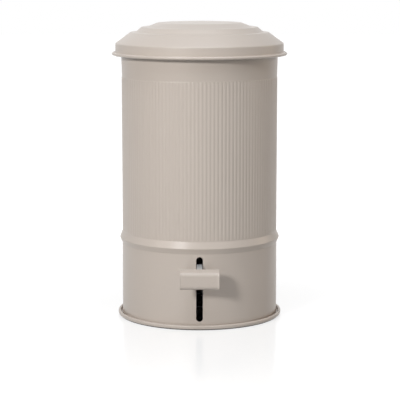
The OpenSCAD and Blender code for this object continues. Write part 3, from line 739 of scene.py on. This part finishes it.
def wallFixingTree():
    # rows and columns of one fixing on an upright round wall, each turned outwards, about the middle at +Y
    tree, given, out = newTree("fixingsOnWall", [
        ("Fixing", "object"), ("Across", "int"), ("Angle Step", "float"), ("Up", "int"),
        ("Height Step", "float"), ("Radius", "float"), ("Height", "float"), ("Material", "material"),
    ])
    g = given.outputs
    grid = addNode(tree, "GeometryNodeMeshGrid")
    tree.links.new(g["Across"], grid.inputs["Vertices X"])
    tree.links.new(g["Up"], grid.inputs["Vertices Y"])
    wide = calc(tree, "MULTIPLY", calc(tree, "SUBTRACT", g["Across"], 1), g["Angle Step"])
    tall = calc(tree, "MULTIPLY", calc(tree, "SUBTRACT", g["Up"], 1), g["Height Step"])
    tree.links.new(wide, grid.inputs["Size X"])
    tree.links.new(tall, grid.inputs["Size Y"])
    split = addNode(tree, "ShaderNodeSeparateXYZ")
    tree.links.new(addNode(tree, "GeometryNodeInputPosition").outputs[0], split.inputs[0])
    outwards = addNode(tree, "ShaderNodeCombineXYZ")
    tree.links.new(calc(tree, "SINE", split.outputs["X"]), outwards.inputs["X"])
    tree.links.new(calc(tree, "COSINE", split.outputs["X"]), outwards.inputs["Y"])
    kept = addNode(tree, "GeometryNodeCaptureAttribute")
    kept.capture_items.new("VECTOR", "Outwards")
    tree.links.new(grid.outputs["Mesh"], kept.inputs["Geometry"])
    tree.links.new(outwards.outputs[0], kept.inputs["Outwards"])
    place = addNode(tree, "ShaderNodeVectorMath", operation="SCALE")
    tree.links.new(outwards.outputs[0], place.inputs[0])
    tree.links.new(g["Radius"], place.inputs["Scale"])
    level = addNode(tree, "ShaderNodeCombineXYZ")
    tree.links.new(calc(tree, "ADD", split.outputs["Y"], g["Height"]), level.inputs["Z"])
    there = addNode(tree, "ShaderNodeVectorMath", operation="ADD")
    tree.links.new(place.outputs[0], there.inputs[0])
    tree.links.new(level.outputs[0], there.inputs[1])
    moved = addNode(tree, "GeometryNodeSetPosition")
    tree.links.new(kept.outputs["Geometry"], moved.inputs["Geometry"])
    tree.links.new(there.outputs[0], moved.inputs["Position"])
    aligned = addNode(tree, "FunctionNodeAlignRotationToVector", axis="Z")
    tree.links.new(kept.outputs["Outwards"], aligned.inputs["Vector"])
    instanceFixings(tree, given, out, moved.outputs[0], aligned.outputs[0])
    return tree


def plateFixingTree():
    # one fixing on each point of the piece, upright
    tree, given, out = newTree("fixingsOnPlate", [("Fixing", "object"), ("Material", "material")])
    instanceFixings(tree, given, out, given.outputs["Geometry"])
    return tree


pressFlutes = fluteTree()
fixingsOnWall = wallFixingTree()
fixingsOnPlate = plateFixingTree()


# Body shell

shell = {
    "radius": 160 * mm, "wall": 1 * mm, "foot": 3.5 * mm,
    "beadLow": 152.25 * mm, "beadTop": 174.75 * mm, "beadOut": 4.6 * mm, "beadFillet": 1 * mm,
    "beadCrest": 3 * mm,
    "fluteCount": 128, "fluteDepth": 0.6 * mm, "fluteLow": 179.75 * mm, "fluteTop": 494 * mm,
    "ribLow": 177.8 * mm, "fluteEnd": 2.4 * mm, "stepsPerFlute": 6,
    "bandIn": 1.1 * mm, "bandTop": 540 * mm, "stepIn": 0.5 * mm, "stepUp": 0.9 * mm,
    "shoulder": 40 * mm, "shoulderRows": (0.03, 0.4, 0.8, 0.9, 1),  # rows at shares of the shoulder's height
    "curlHeight": 554 * mm, "curlRadius": 3 * mm, "curlDrop": 1 * mm, "curlTurns": (-146, 180),
    "edge": 0.3 * mm,
    "plainRows": (12 * mm, 149 * mm), "fluteRows": (260 * mm, 420 * mm),  # mesh rows on the straight parts
    "innerRows": (60 * mm, 300 * mm), "innerTopStep": 1 * mm, "innerStep": (1 * mm, 1.4 * mm),
    "skinDepth": 0.4 * mm,  # the flutes move only what lies no deeper than this behind the band
    "slotWidth": 13.5 * mm, "slotLow": 16 * mm, "slotHigh": 147 * mm,
    "windowHalf": 3.7 * mm, "windowLow": 498 * mm, "windowHigh": 536 * mm,
    "seamWidth": 7 * mm, "seamHeight": 0.35 * mm, "seamShort": 4 * mm,
}


def beadOutline(extra):
    # two slopes that meet in a rounded crest, from the lower to the upper end, moved out by extra
    r = shell["radius"]
    low, top = shell["beadLow"], shell["beadTop"]
    middle = (low + top) / 2
    apex = shell["beadOut"]
    for turn in range(20):  # raises the sharp apex until its rounded crest stands out by beadOut
        tilt = math.atan(apex / (middle - low))
        apex = shell["beadOut"] + shell["beadCrest"] * (1 / math.cos(tilt) - 1)
    crest = corner((r, low), (r + apex, middle), (r, top), shell["beadCrest"], 10)
    return [(x + extra, z) for x, z in [(r, low)] + crest + [(r, top)]]


def makeBodyShell():
    r = shell["radius"]
    inner = r - shell["wall"]
    bead = [(r, shell["foot"])] + beadOutline(0) + [(r, shell["fluteLow"])]
    under = corner(bead[0], bead[1], bead[2], shell["beadFillet"], 4)
    top = corner(bead[-3], bead[-2], bead[-1], shell["beadFillet"], 4)
    outline = [(r - shell["edge"], shell["foot"]), (r, shell["foot"] + shell["edge"])]
    outline += [(r, z) for z in spread(*shell["plainRows"], 3)]
    outline += under + bead[2:-2] + top[:-1]
    outline += [(r - shell["stepIn"], shell["beadTop"] + shell["stepUp"])]
    band = r - shell["bandIn"]
    low, high, end = shell["ribLow"], shell["fluteTop"], shell["fluteEnd"]
    for rows in ((low, low + end, 7), (*shell["fluteRows"], 2), (high - end, high, 7)):
        outline += [(band, z) for z in spread(*rows)]
    for share in shell["shoulderRows"]:
        outline.append((r - shell["bandIn"] * (1 - share), high + shell["shoulder"] * share))
    outline += [(r, shell["bandTop"])]
    curl = (inner + shell["wall"] / 2 + shell["curlRadius"], shell["curlHeight"])
    outline += arc(curl, shell["curlRadius"], *shell["curlTurns"], 20)
    outline += [(inner, shell["curlHeight"] - shell["curlDrop"]), (inner, high + shell["shoulder"])]
    innerBand = inner - shell["bandIn"]
    lowRow, highRow = shell["innerRows"]
    above, below = shell["innerStep"]
    outline += [(innerBand, high - shell["innerTopStep"]), (innerBand, highRow),
                (innerBand, shell["fluteLow"] + above), (inner, shell["fluteLow"] - below)]
    inside = [p for p in reversed(beadOutline(-shell["wall"])) if p[0] > inner]
    outline += [(inner, shell["beadTop"])] + inside + [(inner, shell["beadLow"])]
    outline += [(inner, lowRow), (inner, shell["foot"])]
    piece = revolve("bodyShell", outline, shell["fluteCount"] * shell["stepsPerFlute"])
    runTree(piece, pressFlutes, {
        "Count": shell["fluteCount"], "Depth": shell["fluteDepth"], "Low": low, "Top": high,
        "End Length": end, "Skin Radius": band - shell["skinDepth"], "Seam Width": shell["seamWidth"],
        "Seam Height": shell["seamHeight"], "Seam Top": shell["curlHeight"] - shell["seamShort"],
        "Material": finishes["paint"],
    })
    half = shell["slotWidth"] / 2
    outlineOfSlot = arc((0, shell["slotHigh"] - half), half, 0, 180, 16)
    outlineOfSlot += arc((0, shell["slotLow"] + half), half, 180, 360, 16)
    near, far = 0.9 * r, 1.1 * r  # the cutters reach well through the wall
    slot = prism("slotCutter", outlineOfSlot, "y", -far, -near)
    w, sill, head = shell["windowHalf"], shell["windowLow"], shell["windowHigh"]
    window = prism("windowCutter", [(-w, sill), (w, sill), (w, head), (-w, head)], "y", near, far)
    cutAway(piece, slot, window)
    return smooth(piece, 24)


settle(makeBodyShell(), "body", "paint", "body_shell")
print("body shell made")


# Base ring, foot ring and the plates

base = {
    "lipIn": 163.4 * mm, "lipOut": 169 * mm, "lipTop": 9.5 * mm, "lipRound": 2.6 * mm,
    "webIn": 142 * mm, "webTop": 3.5 * mm, "floor": 1.5 * mm, "grooveRound": 1 * mm, "edge": 0.5 * mm,
}


def makeBaseRing():
    lipIn, lipOut, lipTop = base["lipIn"], base["lipOut"], base["lipTop"]
    webIn, webTop, floor, edge = base["webIn"], base["webTop"], base["floor"], base["edge"]
    half = (lipOut - lipIn) / 2
    outline = [(webIn + edge, floor)]
    outline += corner((webIn, floor), (lipOut, floor), (lipOut, lipTop), base["lipRound"], 6)
    outline += arc((lipIn + half, lipTop - half), half, 0, 180, 14)
    outline += corner((lipIn, lipTop), (lipIn, webTop), (webIn, webTop), base["grooveRound"], 3)
    outline += corner((lipIn, webTop), (webIn, webTop), (webIn, floor), edge, 2)
    outline += [(webIn, floor + edge)]
    return smooth(revolve("baseRing", outline, 256), 50)


foot = {
    "inside": 155 * mm, "outside": 166 * mm, "edge": 0.4 * mm, "treads": (0.3, 0.62),
    "treadFloor": 0.6 * mm, "treadMouth": 0.9 * mm, "treadDepth": 0.5 * mm,
}


def makeFootRing():
    # a flat rubber ring with two tread grooves in its underside
    inside, outside, edge, top = foot["inside"], foot["outside"], foot["edge"], base["floor"]
    floor, mouth, deep = foot["treadFloor"], foot["treadMouth"], foot["treadDepth"]
    outline = [(inside + edge, 0)]
    for share in foot["treads"]:
        middle = inside + share * (outside - inside)
        outline += [(middle - mouth, 0), (middle - floor, deep), (middle + floor, deep), (middle + mouth, 0)]
    outline += [(outside - edge, 0), (outside, edge), (outside, top), (inside, top), (inside, edge)]
    return smooth(revolve("footRing", outline, 192), 30)


plate = {
    "radius": 158.8 * mm, "edge": 11.5 * mm, "sheet": 1 * mm, "bend": 2 * mm, "bendCut": 0.6 * mm,
    "rings": (45 * mm, 96 * mm), "ringRise": 1 * mm, "ringSlope": 2 * mm, "ringWidth": 10 * mm,
}


def makeBasePlate():
    # a pressed dish with a turned-up edge and two shallow stiffening rings
    low, rim = base["webTop"], plate["radius"]
    rise, slope, wide = plate["ringRise"], plate["ringSlope"], plate["ringWidth"]
    under = [(0, low)]
    for radius in plate["rings"]:
        under += [(radius, low), (radius + slope, low + rise), (radius + wide - slope, low + rise),
                  (radius + wide, low)]
    bend, cut = plate["bend"], plate["bendCut"]
    under += [(rim - bend, low), (rim - cut, low + cut), (rim, low + bend), (rim, plate["edge"])]
    outline = under + [(rim - plate["sheet"], plate["edge"])]
    outline += list(reversed(beside(under[:-1], plate["sheet"])))
    outline[-1] = (0, low + plate["sheet"])
    return smooth(revolve("basePlate", outline, 160), 40)


settle(makeBaseRing(), "body", "paint", "base_ring")
settle(makeFootRing(), "body", "rubber", "foot_ring")
settle(makeBasePlate(), "body", "zinc_plate", "base_plate")
print("base made")


# Lid

lid = {
    "skirt": 172 * mm, "sheet": 1 * mm, "rollMiddle": (176.1 * mm, 541 * mm), "rollRadius": 3 * mm,
    "outline": [
        (172, 546), (172, 562), (141, 584.5), (131, 584.5), (118.5, 595), (108, 595), (86, 603.5),
        (43, 605.5), (0, 605.5),
    ],
    "pressRadius": 4 * mm, "crown": (64 * mm, 604.6 * mm), "crownRow": 20 * mm, "columns": 240,
    "rollTurns": (-172, 128), "flareTop": 561 * mm, "flareBend": 1.6 * mm, "flareOut": 4 * mm,
    "flareDrop": 0.4 * mm, "skirtRow": 545 * mm,
    "valleyIn": 2.6 * mm, "valleyUp": 1.9 * mm,  # where the skirt runs into the roll, from the roll's middle
}


def makeLidShell():
    path = [(r * mm, z * mm) for r, z in lid["outline"]]
    upper = [path[0]]
    for i in range(1, 7):
        upper += corner(path[i - 1], path[i], path[i + 1], lid["pressRadius"], 7)
    upper += [lid["crown"], path[7], (lid["crownRow"], path[8][1]), path[8]]
    middle, skirt, sheet = lid["rollMiddle"], lid["skirt"], lid["sheet"]
    valley = (middle[0] - lid["valleyIn"], middle[1] + lid["valleyUp"])
    outer = (valley[0] + lid["flareOut"], valley[1] - lid["flareDrop"])
    flare = corner((skirt, lid["flareTop"]), (skirt, valley[1]), outer, lid["flareBend"], 4)
    outside = arc(middle, lid["rollRadius"], *lid["rollTurns"], 20) + list(reversed(flare)) + upper
    inside = list(reversed(beside(upper, sheet)))
    inside[0] = (0, path[8][1] - sheet)
    inside += [(skirt - sheet, lid["skirtRow"]), (skirt - sheet, middle[1])]
    return smooth(revolve("lidShell", outside + inside, lid["columns"]), 50)


settle(makeLidShell(), "lid", "paint", "lid_shell")
print("lid made")


# Pedal plate

pedal = {
    "halfWidth": 39 * mm, "back": (-188.03 * mm, 127.80 * mm), "brow": (-207.59 * mm, 123.64 * mm),
    "toe": (-208.59 * mm, 89.64 * mm), "lip": (-200.37 * mm, 89.64 * mm),
    "browBend": 9 * mm, "toeBend": 7 * mm,
    "thick": 2 * mm, "cornerRadius": 4 * mm, "backCorner": 1.5 * mm, "edge": 0.6 * mm,
    "dish": 0.6 * mm, "rim": 3.6 * mm,
    "evenPart": 0.85, "edgeRows": [0.885, 0.905, 0.925, 0.945, 0.965, 0.985, 1],  # shares of half the width
}


def makePedalPlate():
    # rows along the bent plate, each as wide as its round corners leave it; the middle is pressed in a little
    path = [pedal["back"]] + corner(pedal["back"], pedal["brow"], pedal["toe"], pedal["browBend"], 12)
    path += corner(pedal["brow"], pedal["toe"], pedal["lip"], pedal["toeBend"], 12) + [pedal["lip"]]
    lengths = [0]
    for (y0, z0), (y1, z1) in zip(path, path[1:]):
        lengths.append(lengths[-1] + math.hypot(y1 - y0, z1 - z0))
    total = lengths[-1]
    radius, small = pedal["cornerRadius"], pedal["backCorner"]
    stations = [small * (1 - math.cos(math.radians(t))) for t in (0, 30, 60, 90)] + lengths[1:-1]
    stations = sorted(set(round(s, 6) for s in stations if s < total)) + [total]
    nearEdge, even = pedal["edgeRows"], pedal["evenPart"]
    shares = [-share for share in reversed(nearEdge)] + spread(-even, even, 12) + nearEdge
    points, faces = [], []
    for station in stations:
        i = max(k for k in range(len(lengths) - 1) if lengths[k] <= station + 1e-9)
        share = (station - lengths[i]) / (lengths[i + 1] - lengths[i])
        y = path[i][0] + (path[i + 1][0] - path[i][0]) * share
        z = path[i][1] + (path[i + 1][1] - path[i][1]) * share
        half = pedal["halfWidth"]
        past = pedal["toe"][1] + radius - z
        if past > 0:
            half += math.sqrt(max(radius ** 2 - past ** 2, 0)) - radius
        if station < small:
            half += math.sqrt(max(small ** 2 - (small - station) ** 2, 0)) - small
        run = Vector((path[i + 1][0] - path[i][0], path[i + 1][1] - path[i][1])).normalized()
        fromEnd = min(station, total - station)
        for across in shares:
            edge = min(min((1 - abs(across)) * half, fromEnd) / pedal["rim"], 1)
            sunk = pedal["dish"] * edge * edge * (3 - 2 * edge)
            points.append((across * half, y - run.y * sunk, z + run.x * sunk))
    width = len(shares)
    for i in range(len(stations) - 1):
        for j in range(width - 1):
            faces.append((i * width + j, i * width + j + 1, (i + 1) * width + j + 1, (i + 1) * width + j))
    piece = newPiece("pedalPlate", points, faces)
    wall = piece.modifiers.new("wall", "SOLIDIFY")
    wall.thickness = pedal["thick"]
    wall.offset = 1
    return bevelled(bake(piece), pedal["edge"], 3, 50)


settle(makePedalPlate(), "pedal", "paint", "pedal_plate", finish="pedalPaint")
print("pedal made")


# Lever, bracket, rod and hinge parts, eased copies of their solids

easedParts = [
    ("shelf_plate", "shelfPlate", "body", "zinc_plate", 0.3),
    ("fulcrum_bracket", "fulcrumBracket", "body", "zinc_plate", 0.4),
    ("lever_pin", "leverPin", "body", "steel", 0.25),
    ("lever_pin_clips", "leverPinClips", "body", "steel", 0.12),
    ("rod_guides", "rodGuides", "body", "nylon", 0.5),
    ("hinge_bracket", "hingeBracket", "body", "paint", 0.4),
    ("hinge_nuts", "hingeNuts", "body", "zinc", 0.2),
    ("hinge_pin", "hingePin", "body", "steel", 0.3),
    ("hinge_pin_clip", "hingePinClip", "body", "steel", 0.12),
    ("lid_bumpers", "lidBumpers", "body", "rubber", 0.6),
    ("lever_bushes", "leverBushes", "pedal", "nylon", 0.15),
    ("push_rod", "pushRod", "rod", "steel", 0.4),
    ("rod_clips", "rodClips", "rod", "steel", 0.12),
    ("lid_bracket", "lidBracket", "lid", "zinc_plate", 0.35),
    ("lid_crank", "lidCrank", "lid", "zinc_plate", 0.35),
]
for node, name, body, slot, ease in easedParts:
    settle(refined(node, name, ease * mm), body, slot, node)

lever = {"shoulder": 3.2 * mm, "shoulderSteps": 6, "ease": 0.3 * mm, "sideways": 0.9, "upwards": 0.5}


def makeLever():
    # the folded channel: its two upper edges are bends, not cuts
    piece = refined("pedal_lever", "pedalLever", 0)
    work = bmesh.new()
    work.from_mesh(piece.data)
    work.normal_update()
    shoulders = []
    for edge in work.edges:
        if len(edge.link_faces) != 2:
            continue
        first, second = sorted(edge.link_faces, key=lambda face: abs(face.normal.x))
        if abs(second.normal.x) > lever["sideways"] and first.normal.z > lever["upwards"]:
            shoulders.append(edge)
    bmesh.ops.bevel(work, geom=shoulders, offset=lever["shoulder"], offset_type="OFFSET",
                    segments=lever["shoulderSteps"], profile=0.5, affect="EDGES", clamp_overlap=True)
    work.to_mesh(piece.data)
    work.free()
    return bevelled(piece, lever["ease"], 2, 40)


settle(makeLever(), "pedal", "zinc_plate", "pedal_lever")
print("mechanism made:", len(easedParts) + 1, "pieces")


# Rivets and screws

fixing = {
    "radius": 2 * mm, "headRadius": 4 * mm, "domeSteps": 5, "columns": 24,
    "screwHead": 3.8 * mm, "screwHeadHeight": 2.2 * mm, "socket": 1.25 * mm, "socketDepth": 1.3 * mm,
    "headOutline": ((1, 0), (1, 0.3), (0.93, 0.62), (0.75, 0.88), (0.55, 1), (0.42, 1)),  # shares of the head
    "tip": 0.4 * mm, "socketEdge": 0.15 * mm, "socketPoint": 0.2 * mm,
}
hingeScrews = {
    "across": 2, "angleStep": 2 * math.asin(24 / 160), "up": 2, "heightStep": 28 * mm,
    "radius": shell["radius"], "height": 517 * mm, "under": 2.1 * mm, "shank": 8 * mm,
}
lidRivets = {
    "across": 3, "angleStep": math.radians(3.2), "up": 1, "heightStep": 0, "radius": 170.5 * mm,
    "height": 552 * mm, "grip": 3.1 * mm, "lowHead": 1.6 * mm, "topHead": 1 * mm,
}
baseRivets = {
    "count": 6, "radius": 148.5 * mm, "height": 3 * mm,
    "grip": 3 * mm, "lowHead": 1.1 * mm, "topHead": 1.6 * mm,
}
fulcrumRivets = {
    "halfWidth": 17.5 * mm, "middle": 50 * mm, "halfLength": 15 * mm, "height": 5 * mm,
    "grip": 3 * mm, "lowHead": 1.6 * mm, "topHead": 1.6 * mm,
}


def makeRivet(row):
    # domed heads on both ends of a shank, the middle of the grip at the origin
    r, half, steps = fixing["radius"], row["grip"] / 2, fixing["domeSteps"]
    dome = []
    for i in range(steps):
        turn = math.radians(90 * i / steps)
        dome.append((fixing["headRadius"] * math.cos(turn), math.sin(turn)))
    outline = [(0, -half - row["lowHead"])]
    outline += [(x, -half - row["lowHead"] * rise) for x, rise in reversed(dome)]
    outline += [(r, -half), (r, half)]
    outline += [(x, half + row["topHead"] * rise) for x, rise in dome]
    outline += [(0, half + row["topHead"])]
    return smooth(revolve("rivetTemplate", outline, fixing["columns"]), 50)


def makeScrew(row):
    # a button head with a six-sided socket, its bearing face at the height under
    r, head, high = fixing["radius"], fixing["screwHead"], fixing["screwHeadHeight"]
    under, end = row["under"], row["under"] - row["shank"]
    top, floor = under + high, under + high - fixing["socketDepth"]
    apothem = fixing["socket"] * math.cos(math.radians(30))

    def hexagon(turn):
        return apothem / math.cos(math.radians(math.degrees(turn) % 60 - 30))

    outline = [(0, end), (r - fixing["tip"], end), (r, end + fixing["tip"]), (r, under)]
    outline += [(out * head, under + rise * high) for out, rise in fixing["headOutline"]]
    outline += [(hexagon, top - fixing["socketEdge"]), (hexagon, floor), (0, floor - fixing["socketPoint"])]
    return smooth(revolve("screwTemplate", outline, fixing["columns"]), 40)


def onWall(name, template, wall):
    piece = newPiece(name, [(0, 0, 0)], [])
    runTree(piece, fixingsOnWall, {
        "Fixing": template, "Across": wall["across"], "Angle Step": wall["angleStep"], "Up": wall["up"],
        "Height Step": wall["heightStep"], "Radius": wall["radius"], "Height": wall["height"],
        "Material": finishes["zinc"],
    })
    bpy.data.objects.remove(template)
    return piece


def onPlate(name, template, places):
    piece = newPiece(name, places, [])
    runTree(piece, fixingsOnPlate, {"Fixing": template, "Material": finishes["zinc"]})
    bpy.data.objects.remove(template)
    return piece


settle(onWall("hingeScrews", makeScrew(hingeScrews), hingeScrews), "body", "zinc", "hinge_screws")
settle(onWall("lidRivets", makeRivet(lidRivets), lidRivets), "lid", "zinc", "lid_rivets")
ringPlaces = []
for i in range(baseRivets["count"]):
    turn = 2 * math.pi * (i + 0.5) / baseRivets["count"]
    reach = baseRivets["radius"]
    ringPlaces.append((reach * math.cos(turn), reach * math.sin(turn), baseRivets["height"]))
settle(onPlate("baseRivets", makeRivet(baseRivets), ringPlaces), "body", "zinc", "base_rivets")
forkPlaces = []
for side in (-1, 1):
    for end in (-1, 1):
        along = fulcrumRivets["middle"] + end * fulcrumRivets["halfLength"]
        forkPlaces.append((side * fulcrumRivets["halfWidth"], along, fulcrumRivets["height"]))
settle(onPlate("fulcrumRivets", makeRivet(fulcrumRivets), forkPlaces), "body", "zinc", "fulcrum_rivets")
print("fixings made")


# Inner bucket, bail and grip

bucket = {
    "floor": 164.4 * mm, "top": 505.4 * mm, "lowRadius": 126 * mm, "topRadius": 136 * mm, "rim": 140 * mm,
    "wall": 1.8 * mm, "dishRadius": 88 * mm, "dishRise": 2 * mm, "dishSlope": 3 * mm,
    "rows": (0.30, 0.34, 0.66, 0.70),  # shares of the height with a row of the mesh
    "footBend": ((6, 0), (2.2, 0.8), (0.4, 3)),  # mm in from the low radius, up
    "footInside": (3.6, 3.6), "floorInside": 7 * mm, "dishInside": 1 * mm,
    "rimBend": ((1.2, 2), (0.3, 1.8), (0, 1.2), (0, 0.7), (0.5, 0.1), (1.2, 0)),  # in from the rim, down
    "rimUnder": (0.4, 2.6), "rimOver": (0.3, 0), "rimInner": (-1, 0.7),  # out from the top radius, down
    "footRow": 8 * mm, "rimRow": 5 * mm, "innerRow": 4 * mm,
    "lugIn": 1.4 * mm, "lugOut": 8 * mm, "lugWidth": 18 * mm, "lugHeight": 14 * mm, "lugCut": 4 * mm,
    "lugEdge": 0.9 * mm, "bailHeight": 495.4 * mm,
}


def makeBucket():
    low, top, t = bucket["floor"], bucket["top"], bucket["wall"]
    r0, r1, rim = bucket["lowRadius"], bucket["topRadius"], bucket["rim"]
    dish, rise, slope = bucket["dishRadius"], bucket["dishRise"], bucket["dishSlope"]

    def wallAt(z, inwards=0):
        return r0 + (r1 - r0) * (z - low) / (top - t - low) - inwards, z

    def byTop(place):
        return r1 + place[0] * mm, top - place[1] * mm

    rows = [low + share * (top - low) for share in bucket["rows"]]
    outline = [(0, low + rise), (dish, low + rise), (dish + slope, low)]
    outline += [(r0 - x * mm, low + z * mm) for x, z in bucket["footBend"]]
    outline += [wallAt(z) for z in [low + bucket["footRow"], *rows, top - bucket["rimRow"]]]
    # the turned rim
    outline += [byTop(bucket["rimUnder"])] + [(rim - x * mm, top - z * mm) for x, z in bucket["rimBend"]]
    outline += [byTop(bucket["rimOver"]), byTop(bucket["rimInner"]), wallAt(top - bucket["innerRow"], t)]
    # the inside
    outline += [wallAt(z, t) for z in reversed(rows)] + [wallAt(low + bucket["footRow"], t)]
    x, z = bucket["footInside"]
    inside = dish + bucket["dishInside"]
    outline += [(r0 - x * mm, low + z * mm), (r0 - bucket["floorInside"], low + t),
                (dish + slope + bucket["dishInside"], low + t), (inside, low + t + rise), (0, low + t + rise)]
    return smooth(revolve("innerBucket", outline, 192), 40)


def makeLug(side):
    inner = bucket["topRadius"] - bucket["lugIn"]
    half, chamfer = bucket["lugWidth"] / 2, bucket["lugCut"]
    low, top = bucket["bailHeight"] - bucket["lugHeight"] / 2, bucket["bailHeight"] + bucket["lugHeight"] / 2
    outline = [(-half, top), (-half, low + chamfer), (-half + chamfer, low), (half - chamfer, low),
               (half, low + chamfer), (half, top)]
    ends = sorted((side * inner, side * (inner + bucket["lugOut"])))
    return bevelled(prism("lug", outline, "x", *ends), bucket["lugEdge"], 3)


def joined(piece, *others):
    # one mesh of several closed shells
    work = bmesh.new()
    work.from_mesh(piece.data)
    for other in others:
        work.from_mesh(other.data)
        bpy.data.objects.remove(other)
    work.to_mesh(piece.data)
    work.free()
    return piece


settle(joined(makeBucket(), makeLug(-1), makeLug(1)), "bucket", "bucket_plastic", "inner_bucket")

bail = {
    "radius": 146 * mm, "wire": 2 * mm, "height": bucket["bailHeight"], "pinIn": 133 * mm, "turn": 4 * mm,
    "gripRadius": 4.5 * mm, "gripAngle": 36, "gripRidge": 0.35 * mm, "ridges": 14, "gripDrawIn": 1.2 * mm,
    "stepsPerRidge": 6, "drawInSteps": 3,
}


def makeBail():
    # along the left pin, round the front, and back along the right pin
    z, r, bend = bail["height"], bail["radius"], bail["turn"]
    left = [(-bail["pinIn"], 0, z), (bend - r, 0, z)]
    for t in range(15, 91, 15):
        turn = math.radians(t)
        left.append((bend - r - bend * math.sin(turn), -bend + bend * math.cos(turn), z))
    start = math.degrees(math.asin(bend / r)) + 2
    hoop = [(x, y, z) for x, y in arc((0, 0), r, 180 + start, 360 - start, 60)]
    path = left + hoop + [(-x, y, z) for x, y, z in reversed(left)]
    return smooth(sweep("bailWire", path, [bail["wire"]] * len(path), 20), 50)


def makeGrip():
    # a sleeve on the middle of the bail, with ridges for the fingers and turned-in ends
    steps = bail["ridges"] * bail["stepsPerRidge"]
    path, radii = [], []
    for i in range(steps + 1):
        share = i / steps
        turn = math.radians(270 + bail["gripAngle"] * (share - 0.5))
        path.append((bail["radius"] * math.cos(turn), bail["radius"] * math.sin(turn), bail["height"]))
        ridge = bail["gripRidge"] * (0.5 - 0.5 * math.cos(2 * math.pi * bail["ridges"] * share))
        fromEnd = min(share, 1 - share) * steps
        drawIn = bail["gripDrawIn"] * max(0, 1 - fromEnd / bail["drawInSteps"]) ** 2
        radii.append(bail["gripRadius"] - bail["gripRidge"] + ridge - drawIn)
    return smooth(sweep("bailGrip", path, radii, 28), 60)


settle(makeBail(), "bail", "steel", "bail_wire")
settle(makeGrip(), "bail", "grip_plastic", "bail_grip")
print("bucket and bail made")
